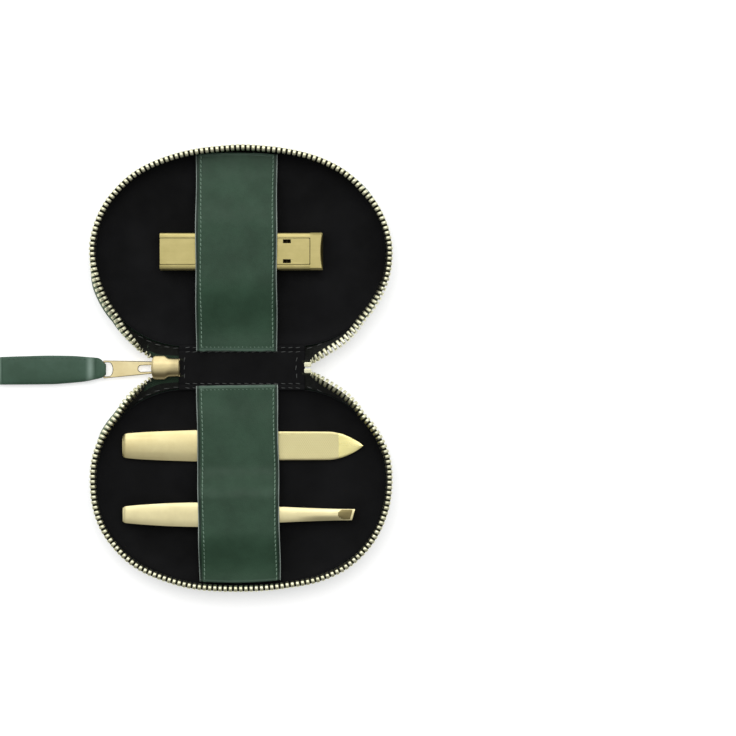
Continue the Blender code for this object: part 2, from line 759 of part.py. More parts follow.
def make_stops(maker):
    left = SPINE_RIGHT + GAP
    for half, sign in (("base", -1.0), ("cover", 1.0)):
        middle = SPINE_MIDDLE_Y + sign * RIGHT_END_OFFSET / 2
        low = (left, middle - TOP_STOP_WIDTH / 2 + GAP / 2, CHANNEL_MIDDLE_Z - TOOTH_WIDTH / 2)
        high = (left + TOP_STOP_LENGTH, middle + TOP_STOP_WIDTH / 2 - GAP / 2,
                CHANNEL_MIDDLE_Z + TOOTH_WIDTH / 2)
        maker.piece(f"zip_top_stop_{half}", "spine", box(low, high), pale_gold(), bevel=STOP_BEVEL)
    right = -SPINE_LEFT - GAP
    low = (right - BOTTOM_STOP_LENGTH, SPINE_MIDDLE_Y - BOTTOM_STOP_WIDTH / 2,
           CHANNEL_MIDDLE_Z - BOTTOM_STOP_HEIGHT / 2)
    high = (right, SPINE_MIDDLE_Y + BOTTOM_STOP_WIDTH / 2,
            CHANNEL_MIDDLE_Z + BOTTOM_STOP_HEIGHT / 2)
    maker.piece("zip_bottom_stop", "spine", box(low, high), pale_gold(), bevel=STOP_BEVEL)


# Spine

def make_spine(maker):
    layers = (
        ("spine_leather", SPINE_LEATHER_Z, SPINE_LEATHER_THICKNESS, green_leather),
        ("spine_lining", SPINE_LINING_Z, SPINE_LINING_THICKNESS, black_lining),
    )
    for name, bottom, thickness, finish in layers:
        low = (-SPINE_LEFT, BASE_FOLD_Y, bottom)
        high = (SPINE_RIGHT, COVER_FOLD_Y, bottom + thickness)
        maker.piece(name, "spine", box(low, high), finish())


# Straps

def strap_shape(x, back_y, front_y, loads):
    """A leather band from the back seam over its tools to the front seam.

    loads holds (from y, to y, height of the band's underside) for each tool.
    """
    foot_z = LINING_EDGE_Z + GAP
    way = 1.0 if front_y > back_y else -1.0
    flats = [(back_y, back_y + way * STRAP_FOOT_LENGTH, foot_z)]
    flats += [(start, end, z) for start, end, z in loads]
    flats.append((front_y - way * STRAP_FOOT_LENGTH, front_y, foot_z))
    rings = []
    for n in range(STRAP_STATIONS):
        y = back_y + (front_y - back_y) * n / (STRAP_STATIONS - 1)
        z = band_height(y * way, [(a * way, b * way, h) for a, b, h in flats])
        left, right = x - STRAP_WIDTH / 2, x + STRAP_WIDTH / 2
        top = z + STRAP_THICKNESS
        rings.append([Vector((left, y, z)), Vector((right, y, z)),
                      Vector((right, y, top)), Vector((left, y, top))])
    return loft(rings)


def band_height(place, flats):
    """Height along the band: level over each flat, eased in between."""
    for (a0, a1, az), (b0, b1, bz) in zip(flats, flats[1:]):
        if place <= a1:
            return az
        if place < b0:
            return az + (bz - az) * smooth_share((place - a1) / (b0 - a1))
    return flats[-1][2]


def make_straps(maker):
    margin = STRAP_TOOL_MARGIN
    file_load = (FILE_Y + FILE_HALF_WIDTH + margin, FILE_Y - FILE_HALF_WIDTH - margin,
                 FILE_TOP_Z + GAP)
    tweezers_load = (TWEEZERS_Y + TWEEZERS_HALF_WIDTH + margin,
                     TWEEZERS_Y - TWEEZERS_HALF_WIDTH - margin, TWEEZERS_TOP_Z + GAP)
    front = STRAP_FOOT_INSET - RIM_FRONT_DEPTH
    base = strap_shape(BASE_STRAP_X, BASE_FOLD_Y - GAP, front, (file_load, tweezers_load))
    maker.piece("base_strap", "base", base, green_leather(), smooth=CURVED_PIECE_ANGLE)
    clipper_load = (CLIPPER_Y - CLIPPER_WIDTH / 2 - margin,
                    CLIPPER_Y + CLIPPER_WIDTH / 2 + margin, CLIPPER_TOP_Z + GAP)
    front = COVER_MIDDLE_Y + RIM_FRONT_DEPTH - STRAP_FOOT_INSET
    cover = strap_shape(COVER_STRAP_X, COVER_FOLD_Y + GAP, front, (clipper_load,))
    maker.piece("cover_strap", "cover", cover, green_leather(), smooth=CURVED_PIECE_ANGLE)


# Slider and puller

def slider_plan():
    """Plan of a slider plate: a wide nose with cut corners, stepping in to the tail."""
    nose, tail = SLIDER_NOSE_WIDTH / 2, SLIDER_TAIL_WIDTH / 2
    step_x = SLIDER_NOSE_X + SLIDER_NOSE_LENGTH
    half = (
        (SLIDER_NOSE_X, nose - SLIDER_CORNER),
        (SLIDER_NOSE_X + SLIDER_CORNER, nose),
        (step_x - SLIDER_CORNER, nose),
        (step_x + SLIDER_CORNER, tail),
        (SLIDER_TAIL_X, tail),
    )
    return ([(x, SPINE_MIDDLE_Y + y) for x, y in half]
            + [(x, SPINE_MIDDLE_Y - y) for x, y in reversed(half)])


def make_slider(maker):
    plan = slider_plan()
    roof_z = CHANNEL_Z + SLIDER_CHANNEL_HEIGHT
    roof = flat_prism(plan, roof_z, roof_z + SLIDER_PLATE_THICKNESS)
    slider = maker.piece("slider_body", "slider", roof, pale_gold())
    maker.join(slider, "slider_outer_plate", flat_prism(plan, SLIDER_Z, CHANNEL_Z))
    start = SLIDER_NOSE_X + DIAMOND_SETBACK
    middle = start + DIAMOND_LENGTH / 2
    diamond = [(start, SPINE_MIDDLE_Y), (middle, SPINE_MIDDLE_Y - DIAMOND_WIDTH / 2),
               (start + DIAMOND_LENGTH, SPINE_MIDDLE_Y), (middle, SPINE_MIDDLE_Y + DIAMOND_WIDTH / 2)]
    post = flat_prism(diamond, CHANNEL_Z - JOIN_OVERLAP, roof_z + JOIN_OVERLAP)
    maker.join(slider, "slider_diamond", post)
    lip_from = SLIDER_NOSE_X + SLIDER_NOSE_LENGTH + SLIDER_CORNER
    for sign, side in ((-1.0, "near"), (1.0, "far")):
        outer = SPINE_MIDDLE_Y + sign * SLIDER_TAIL_WIDTH / 2
        inner = outer - sign * SLIDER_LIP_WIDTH
        y0, y1 = min(outer, inner), max(outer, inner)
        low = (lip_from, y0, CHANNEL_Z - JOIN_OVERLAP)
        high = (SLIDER_TAIL_X, y1, CHANNEL_Z + SLIDER_LIP_DEPTH)
        maker.join(slider, f"slider_lower_lip_{side}", box(low, high))
        low = (lip_from, y0, roof_z - SLIDER_LIP_DEPTH)
        high = (SLIDER_TAIL_X, y1, roof_z + JOIN_OVERLAP)
        maker.join(slider, f"slider_upper_lip_{side}", box(low, high))
    left = SLIDER_NOSE_X + CROWN_SETBACK
    right = left + CROWN_LENGTH
    top = SLIDER_Z - GAP
    bridge = CROWN_Z + CROWN_STRIP
    crown = [(left, top), (left, CROWN_Z), (right, CROWN_Z), (right, top),
             (right - CROWN_STRIP, top), (right - CROWN_STRIP, bridge),
             (left + CROWN_STRIP, bridge), (left + CROWN_STRIP, top)]
    maker.piece("slider_crown", "slider", side_prism(crown, SPINE_MIDDLE_Y, CROWN_WIDTH), pale_gold())


def make_puller(maker):
    wide, narrow = PULLER_WIDE_WIDTH / 2, PULLER_NARROW_WIDTH / 2
    y = SPINE_MIDDLE_Y
    low, high = BAR_Z - PULLER_THICKNESS / 2, BAR_Z + PULLER_THICKNESS / 2
    plate = [(PULLER_LEFT_X, y - wide), (PULLER_RIGHT_X, y - narrow),
             (PULLER_RIGHT_X, y + narrow), (PULLER_LEFT_X, y + wide)]
    puller = maker.piece("puller", "puller", flat_prism(plate, low, high), pale_gold())
    below, above = low - CUT_OVERRUN, high + CUT_OVERRUN
    eye = PULLER_LEFT_X + PULLER_EYE_BAR
    half = wide - PULLER_RAIL
    opening = [(eye, y - half), (eye + PULLER_EYE_LENGTH, y - half),
               (eye + PULLER_EYE_LENGTH, y + half), (eye, y + half)]
    maker.cut(puller, "puller_eye", flat_prism(opening, below, above))
    right = PULLER_RIGHT_X - PULLER_BAR
    half = CROWN_WIDTH / 2 + GAP
    centre = right - PULLER_SLOT_LENGTH + half
    slot = [(right, y - half), (right, y + half)]
    for n in range(ROUND_SIDES // 2 + 1):
        turn = math.pi / 2 + math.tau * n / ROUND_SIDES
        slot.append((centre + half * math.cos(turn), y + half * math.sin(turn)))
    maker.cut(puller, "puller_slot", flat_prism(slot, below, above))


def make_pull_tab(maker):
    y = SPINE_MIDDLE_Y
    clear = PULLER_EYE_BAR / 2 + GAP
    loop = clear + TAB_LOOP_THICKNESS
    height = PULLER_THICKNESS / 2 + GAP + TAB_LOOP_THICKNESS
    neck = PULLER_WIDE_WIDTH / 2 - PULLER_RAIL - GAP
    shoulder = TAB_SHOULDER_WIDTH / 2
    wide = TAB_WIDTH / 2
    neck_x = EYE_X - clear - TAB_NECK_LENGTH
    end_x = PULLER_LEFT_X - TAB_LENGTH + loop
    half = (
        (EYE_X - clear, neck), (neck_x, shoulder), (neck_x - TAB_SHOULDER_LENGTH, wide),
        (end_x + TAB_CORNER, wide), (end_x, wide - TAB_CORNER),
    )
    plan = [(x, y + w) for x, w in half] + [(x, y - w) for x, w in reversed(half)]
    low = BAR_Z - TAB_THICKNESS / 2
    band = flat_prism(plan, low, low + TAB_THICKNESS)
    tab = maker.piece("pull_tab", "pull_tab", band, green_leather())
    ring = [(EYE_X + loop, BAR_Z - height / 2), (EYE_X + loop, BAR_Z + height / 2),
            (EYE_X + loop / 2, BAR_Z + height), (EYE_X - loop, BAR_Z + height),
            (EYE_X - loop, BAR_Z - height), (EYE_X + loop / 2, BAR_Z - height)]
    maker.join(tab, "tab_loop", side_prism(ring, y, 2 * neck))
    room = PULLER_THICKNESS / 2 + GAP
    low = (EYE_X - clear, y - wide, BAR_Z - room)
    high = (EYE_X + clear, y + wide, BAR_Z + room)
    maker.cut(tab, "tab_loop_hole", box(low, high))


# Badge

def square(x, y, half):
    return [(x - half, y - half), (x + half, y - half), (x + half, y + half), (x - half, y + half)]


def make_badge(maker):
    """A plain framed plate let into the outside of the cover."""
    y = COVER_MIDDLE_Y + BADGE_FORWARD
    shell = bpy.data.objects["cover_leather_shell"]
    pocket = square(BADGE_X, y, BADGE_SIZE / 2 + BADGE_POCKET_GAP)
    maker.cut(shell, "badge_pocket", flat_prism(pocket, -CUT_OVERRUN, BADGE_DEPTH))
    top = BADGE_DEPTH - BADGE_POCKET_GAP
    frame = flat_prism(square(BADGE_X, y, BADGE_SIZE / 2), top - BADGE_FRAME_THICKNESS, top)
    frame = maker.piece("badge_frame", "cover", frame, pale_gold())
    window = square(BADGE_X, y, BADGE_SIZE / 2 - BADGE_BORDER)
    maker.cut(frame, "badge_window", flat_prism(window, -CUT_OVERRUN, BADGE_DEPTH + CUT_OVERRUN))
    field = square(BADGE_X, y, BADGE_SIZE / 2 - BADGE_BORDER - BADGE_POCKET_GAP)
    maker.piece("badge_field", "cover", flat_prism(field, top - BADGE_FIELD_THICKNESS, top),
                dark_enamel())


# Tools under the straps

def crowned_section(x, y, half, flat_z, crowned_z, crown, slant=0.0):
    """A section with one flat face and one with eased edges; slant shifts x across the width."""
    edge = min(2 * crown, half / 2)
    ease = min(crown, abs(crowned_z - flat_z) / 2)
    eased_z = crowned_z - math.copysign(ease, crowned_z - flat_z)
    outline = (
        (-half, flat_z), (half, flat_z), (half, eased_z),
        (half - edge, crowned_z), (edge - half, crowned_z), (-half, eased_z),
    )
    return [Vector((x + slant * w / (2 * half), y + w, z)) for w, z in outline]


def make_nail_file(maker):
    rings = []
    for share, width_share in FILE_STATION_SHARES:
        blade = smooth_share((share - FILE_BLADE_START_SHARE) / FILE_BLADE_EASE_SHARE)
        thickness = FILE_HANDLE_THICKNESS + (FILE_BLADE_THICKNESS - FILE_HANDLE_THICKNESS) * blade
        crown = FILE_CROWN + (FILE_BLADE_CROWN - FILE_CROWN) * blade
        rings.append(crowned_section(
            FILE_START_X + FILE_LENGTH * share, FILE_Y, FILE_HALF_WIDTH * width_share,
            FILE_Z, FILE_Z + thickness, crown))
    maker.piece("nail_file", "nail_file", loft(rings), gold_steel(), smooth=TOOL_ANGLE)


def arm_bow(share):
    """How far an arm stands from the middle plane: 0 at the tail, 1 at the belly."""
    tip = TWEEZERS_TIP_GAP / 2 / (TWEEZERS_HEIGHT / 2 - TWEEZERS_ARM_THICKNESS)
    if share < TWEEZERS_BELLY_SHARE:
        return smooth_share(share / TWEEZERS_BELLY_SHARE)
    fall = smooth_share((share - TWEEZERS_BELLY_SHARE) / (1 - TWEEZERS_BELLY_SHARE))
    return 1 + (tip - 1) * fall


def tweezers_arm(sign):
    """One arm, the lower for sign -1 and the upper for sign 1."""
    middle = TOOL_Z + TWEEZERS_HEIGHT / 2
    near = TWEEZERS_TAIL_GAP / 2
    spread = TWEEZERS_HEIGHT / 2 - TWEEZERS_ARM_THICKNESS - near
    rings = []
    for share, width_share in TWEEZERS_STATION_SHARES:
        inner = middle + sign * (near + spread * arm_bow(share))
        outer = inner + sign * TWEEZERS_ARM_THICKNESS
        tip_share = (share - TWEEZERS_SLANT_START_SHARE) / (1 - TWEEZERS_SLANT_START_SHARE)
        slant = TWEEZERS_TIP_SLANT * smooth_share(tip_share)
        rings.append(crowned_section(
            TWEEZERS_START_X + TWEEZERS_LENGTH * share - slant / 2, TWEEZERS_Y,
            TWEEZERS_HALF_WIDTH * width_share, inner, outer, TWEEZERS_CROWN, slant))
    return loft(rings)


def make_tweezers(maker):
    maker.piece("tweezers_lower_arm", "tweezers", tweezers_arm(-1.0), gold_steel(), smooth=TOOL_ANGLE)
    maker.piece("tweezers_upper_arm", "tweezers_spring_arm", tweezers_arm(1.0), gold_steel(),
                smooth=TOOL_ANGLE)


# Nail clipper

def blade_hollow():
    """An upright cylinder that curves the cutting edges in."""
    half = CLIPPER_WIDTH / 2
    radius = (half ** 2 + BLADE_HOLLOW ** 2) / (2 * BLADE_HOLLOW)
    x = CLIPPER_START_X + CLIPPER_LENGTH + radius - BLADE_HOLLOW
    foot = (x, CLIPPER_Y, TOOL_Z - CUT_OVERRUN)
    return round_bar(foot, (x, CLIPPER_Y, CLIPPER_TOP_Z + CUT_OVERRUN), radius, HOLLOW_SIDES)


def rivet_hole(bottom, top):
    foot = (RIVET_X, CLIPPER_Y, bottom - CUT_OVERRUN)
    return round_bar(foot, (RIVET_X, CLIPPER_Y, top + CUT_OVERRUN), RIVET_RADIUS + GAP)


def make_lower_jaw(maker):
    left, right = CLIPPER_START_X, CLIPPER_START_X + CLIPPER_LENGTH
    top = TOOL_Z + JAW_THICKNESS
    edge = BLADE_Z - BLADE_GAP
    root = right - BLADE_LENGTH
    ramp = root - BLADE_RAMP
    root_z = UPPER_JAW_Z - BLADE_ROOT_CLEARANCE
    outline = [(left, TOOL_Z), (ramp + JAW_THICKNESS, TOOL_Z), (root, root_z - JAW_THICKNESS),
               (right, edge - BLADE_EDGE), (right, edge),
               (root + BLADE_LENGTH / 2, UPPER_JAW_Z - BLADE_MIDDLE_CLEARANCE), (root, root_z),
               (ramp, top), (left, top)]
    jaw = maker.piece("clipper_lower_jaw", "clipper",
                      side_prism(outline, CLIPPER_Y, CLIPPER_WIDTH), gold_steel())
    maker.cut(jaw, "lower_blade_hollow", blade_hollow())
    maker.cut(jaw, "lower_rivet_hole", rivet_hole(TOOL_Z, top))


def make_upper_jaw(maker):
    """A channel: web, two side rails round the lever, and the blade at its end."""
    left, right = CLIPPER_START_X, CLIPPER_START_X + CLIPPER_LENGTH
    front = right - BLADE_LENGTH
    half = CLIPPER_WIDTH / 2
    inner = half - RAIL_WIDTH
    y = CLIPPER_Y
    top = CLIPPER_TOP_Z
    section = [(-half, UPPER_JAW_Z), (half, UPPER_JAW_Z), (half, top - RAIL_ROUND),
               (half - RAIL_ROUND, top), (inner, top), (inner, UPPER_JAW_TOP_Z),
               (-inner, UPPER_JAW_TOP_Z), (-inner, top), (RAIL_ROUND - half, top),
               (-half, top - RAIL_ROUND)]
    rings = [[Vector((x, y + w, z)) for w, z in section] for x in (left, front + JOIN_OVERLAP)]
    jaw = maker.piece("clipper_upper_jaw", "clipper_jaw", loft(rings), gold_steel())
    nose = [(front, UPPER_JAW_Z), (front + BLADE_LENGTH / 2, UPPER_JAW_Z),
            (right, BLADE_Z), (right, BLADE_Z + BLADE_EDGE), (front + BLADE_LENGTH / 2, top - GAP),
            (front, top)]
    maker.join(jaw, "upper_blade", side_prism(nose, y, CLIPPER_WIDTH))
    maker.cut(jaw, "upper_blade_hollow", blade_hollow())
    maker.cut(jaw, "upper_rivet_hole", rivet_hole(UPPER_JAW_Z, UPPER_JAW_TOP_Z))


def make_lever(maker):
    left = CLIPPER_START_X + LEVER_INSET
    right = LEVER_PIN_X + LEVER_NOSE
    half = CLIPPER_WIDTH / 2 - RAIL_WIDTH - LEVER_SIDE_GAP
    y = CLIPPER_Y
    top = CLIPPER_TOP_Z - LEVER_SINK
    bottom = top - LEVER_THICKNESS
    lever = maker.piece("clipper_lever", "clipper_lever",
                        box((left, y - half, bottom), (right, y + half, top)), gold_steel())
    for sign, side in ((-1.0, "near"), (1.0, "far")):
        middle = y + sign * (half - LUG_INSET - LUG_THICKNESS / 2)
        start, end = middle - LUG_THICKNESS / 2, middle + LUG_THICKNESS / 2
        radius = PIN_RADIUS + LUG_WALL
        low = (LEVER_PIN_X - radius, start, LEVER_PIN_Z)
        high = (LEVER_PIN_X + radius, end, bottom + JOIN_OVERLAP)
        maker.join(lever, f"lever_lug_{side}", box(low, high))
        foot = round_bar((LEVER_PIN_X, start, LEVER_PIN_Z), (LEVER_PIN_X, end, LEVER_PIN_Z), radius)
        maker.join(lever, f"lever_lug_foot_{side}", foot)
        outer = y + sign * (half - SLOT_EDGE)
        inner = outer - sign * SLOT_WIDTH
        low = (LEVER_PIN_X - SLOT_LENGTH / 2, min(outer, inner), bottom - CUT_OVERRUN)
        high = (LEVER_PIN_X + SLOT_LENGTH / 2, max(outer, inner), top + CUT_OVERRUN)
        maker.cut(lever, f"lever_slot_{side}", box(low, high))
    bore = round_bar((LEVER_PIN_X, y - half, LEVER_PIN_Z), (LEVER_PIN_X, y + half, LEVER_PIN_Z),
                     PIN_RADIUS + GAP / 2)
    maker.cut(lever, "lever_pin_bore", bore)
    pin_half = CLIPPER_WIDTH / 2 - RAIL_WIDTH - GAP
    pin = round_bar((LEVER_PIN_X, y - pin_half, LEVER_PIN_Z),
                    (LEVER_PIN_X, y + pin_half, LEVER_PIN_Z), PIN_RADIUS)
    maker.piece("clipper_hinge_pin", "clipper_jaw", pin, gold_steel(), smooth=CURVED_PIECE_ANGLE)


def make_rivet(maker):
    """The tail rivet: a shank through both jaws with a collar between them."""
    x, y = RIVET_X, CLIPPER_Y
    collar_low = TOOL_Z + JAW_THICKNESS + GAP
    collar_high = UPPER_JAW_Z - GAP
    profile = (
        (RIVET_RADIUS, TOOL_Z + RIVET_SINK), (RIVET_RADIUS, collar_low),
        (RIVET_COLLAR_RADIUS, collar_low), (RIVET_COLLAR_RADIUS, collar_high),
        (RIVET_RADIUS, collar_high), (RIVET_RADIUS, UPPER_JAW_TOP_Z - RIVET_SINK),
    )
    rings = []
    for radius, z in profile:
        turns = [math.tau * n / ROUND_SIDES for n in range(ROUND_SIDES)]
        rings.append([Vector((x + radius * math.cos(t), y + radius * math.sin(t), z)) for t in turns])
    maker.piece("clipper_tail_rivet", "clipper", loft(rings), gold_steel(), smooth=CURVED_PIECE_ANGLE)


def make_clipper(maker):
    make_lower_jaw(maker)
    make_upper_jaw(maker)
    make_lever(maker)
    make_rivet(maker)


def main():
    clear_scene()
    maker = Maker()
    rim = Rim()
    for half in ("base", "cover"):
        make_half(maker, rim, half)
        make_zip(maker, rim, half)
    make_spine(maker)
    make_stops(maker)
    make_straps(maker)
    make_slider(maker)
    make_puller(maker)
    make_pull_tab(maker)
    make_badge(maker)
    make_nail_file(maker)
    make_tweezers(maker)
    make_clipper(maker)


main()
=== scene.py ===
"""Looks of the manicure set case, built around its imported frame.

Lengths are in millimetres until a mesh is made. X runs along the spine, Y from the base
half to the cover half, Z up. The cover's pieces are the base's, mirrored in the spine.
"""

import math

import bmesh
import bpy
import numpy as np
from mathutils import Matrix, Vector
from mathutils.geometry import tessellate_polygon


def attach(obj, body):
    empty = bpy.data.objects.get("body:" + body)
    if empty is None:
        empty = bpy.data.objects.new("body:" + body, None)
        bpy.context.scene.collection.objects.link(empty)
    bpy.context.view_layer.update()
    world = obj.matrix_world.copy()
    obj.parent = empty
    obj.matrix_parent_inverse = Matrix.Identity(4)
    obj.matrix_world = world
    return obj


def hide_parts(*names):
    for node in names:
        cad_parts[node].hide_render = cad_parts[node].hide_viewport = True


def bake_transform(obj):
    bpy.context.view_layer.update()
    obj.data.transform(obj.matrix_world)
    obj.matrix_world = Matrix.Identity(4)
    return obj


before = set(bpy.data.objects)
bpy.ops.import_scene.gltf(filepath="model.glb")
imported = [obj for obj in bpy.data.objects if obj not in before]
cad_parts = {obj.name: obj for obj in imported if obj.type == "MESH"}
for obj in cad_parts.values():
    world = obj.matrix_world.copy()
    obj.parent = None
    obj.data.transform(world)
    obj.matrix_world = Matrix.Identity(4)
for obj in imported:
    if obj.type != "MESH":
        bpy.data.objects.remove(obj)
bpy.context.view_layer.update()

MM = 0.001
SPINE_Y = 42.2
CHANNEL_Z = 5.0
BADGE_PLACE = (33.0, 95.7)


# Curves

def smooth(share):
    share = np.clip(share, 0.0, 1.0)
    return share * share * (3 - 2 * share)


def bowl(share):
    """Rise of a quarter ellipse: 0 on the flat, 1 at the edge."""
    share = np.clip(share, 0.0, 1.0)
    return 1 - np.sqrt(1 - share * share)


def through(xs, ys, at):
    """A smooth curve through points, with no overshoot between them."""
    xs, ys, at = (np.asarray(v, float) for v in (xs, ys, at))
    steps = np.diff(xs)
    slopes = np.diff(ys) / steps
    ends = np.zeros_like(ys)
    same = slopes[:-1] * slopes[1:] > 0
    ends[1:-1][same] = 2 * slopes[:-1][same] * slopes[1:][same] / (slopes[:-1] + slopes[1:])[same]
    ends[0], ends[-1] = slopes[0], slopes[-1]
    n = np.clip(np.searchsorted(xs, at) - 1, 0, len(steps) - 1)
    t = np.clip((at - xs[n]) / steps[n], 0, 1)
    rise = (ys[n + 1] - ys[n]) * t * t * (3 - 2 * t)
    bend = steps[n] * (ends[n] * t * (1 - t) ** 2 - ends[n + 1] * t * t * (1 - t))
    return ys[n] + rise + bend


def unit(vectors):
    return vectors / np.maximum(np.linalg.norm(vectors, axis=-1, keepdims=True), 1e-9)


def along_path(path):
    """Distance along a row of points."""
    return np.concatenate([[0.0], np.cumsum(np.linalg.norm(np.diff(path, axis=0), axis=1))])


def at_marks(values, marks, where):
    return np.stack([np.interp(where, marks, values[:, k]) for k in range(values.shape[1])], 1)


def spread_out(x, y, z):
    """Points from coordinates that go together by row and column."""
    return np.stack(np.broadcast_arrays(x, y, z), -1)


def ripple(x, y):
    """A soft, fixed unevenness between -1 and 1."""
    return (np.sin(0.13 * x + 1.3) * np.cos(0.11 * y + 0.4)
            + 0.5 * np.sin(0.31 * x - 0.23 * y + 2.0) + 0.3 * np.sin(0.57 * y + 0.41 * x)) / 1.8


def corner_round(points, radius, steps=5):
    """A plan outline with each corner rounded."""
    points = [np.array(p, float) for p in points]
    made = []
    for n, corner in enumerate(points):
        before, after = points[n - 1], points[(n + 1) % len(points)]
        a, b = unit(before - corner), unit(after - corner)
        nearest = min(np.linalg.norm(before - corner), np.linalg.norm(after - corner))
        reach = min(radius, 0.45 * nearest)
        start, end = corner + a * reach, corner + b * reach
        for t in np.linspace(0.0, 1.0, steps):
            made.append((1 - t) ** 2 * start + 2 * t * (1 - t) * corner + t * t * end)
    return np.array(made)


def oblong(x0, x1, y0, y1):
    return [(x0, y0), (x1, y0), (x1, y1), (x0, y1)]


def square(x, y, half):
    return oblong(x - half, x + half, y - half, y + half)


def arc(x, y, across, along, start, stop, count):
    """Points on part of an ellipse, between two directions in degrees."""
    turns = np.radians(np.linspace(start, stop, count))
    return list(zip(x + across * np.cos(turns), y + along * np.sin(turns)))


def cut_back(loop, way):
    """A closed loop grown by a distance, or shrunk where it is negative."""
    ahead = unit(loop - np.roll(loop, 1, axis=0))
    side = np.column_stack([ahead[:, 1], -ahead[:, 0]])
    turning = np.sum(loop[:, 0] * np.roll(loop[:, 1], -1) - loop[:, 1] * np.roll(loop[:, 0], -1))
    middle = unit(side + np.roll(side, -1, axis=0))
    reach = way * np.sign(turning) / np.maximum(np.sum(middle * side, axis=1), 0.4)
    return loop + middle * reach[:, None]


# Outline of one half, to the outside of its teeth

def squared_ellipse(turn, width, depth, exponent):
    across, along = np.cos(turn), np.sin(turn)
    return np.stack([np.copysign(np.abs(across) ** (2 / exponent), across) * width,
                     np.copysign(np.abs(along) ** (2 / exponent), along) * depth], 1)


def rim_table():
    back = squared_ellipse(np.linspace(math.pi / 2, math.pi, 400), 35.0, 35.9, 2.05)
    back[:, 0] -= 20.0
    front = squared_ellipse(np.linspace(math.pi, 1.5 * math.pi, 400), 55.0, 40.0, 2.3)[1:]
    left = np.vstack([back, front])
    right = left[:-1][::-1] * (-1.0, 1.0)
    return np.vstack([[[0.0, 35.9]], left, right, [[0.0, 35.9]]])


RIM = rim_table()
RIM_MARKS = along_path(RIM)
RIM_LENGTH = RIM_MARKS[-1]


def rim_at(distance):
    return at_marks(RIM, RIM_MARKS, np.mod(distance, RIM_LENGTH))


def rim_out(distance):
    along = unit(rim_at(distance + 0.95) - rim_at(distance - 0.95))
    return np.stack([along[:, 1], -along[:, 0]], 1)


def on_rim(distance, inset, z):
    """Points a given way inside the outline, at a height."""
    distance = np.atleast_1d(np.asarray(distance, float))
    place = rim_at(distance) - rim_out(distance) * np.reshape(inset, (-1, 1))
    return np.column_stack([place, np.broadcast_to(z, len(distance))])


def rim_where_x(x):
    """Distance along the back left at which the outline reaches x."""
    return RIM_MARKS[np.argmax(RIM[:, 0] <= x)]


def leather_z(inset):
    return 2.6 * bowl(1 - (np.asarray(inset, float) - 0.4) / 14)


def lining_z(inset):
    return 3.2 + 2.0 * bowl(1 - (np.asarray(inset, float) - 1.8) / 7.2)


# Meshes

MERGE_WITHIN = 1e-7
BEVEL_FROM = 35.0


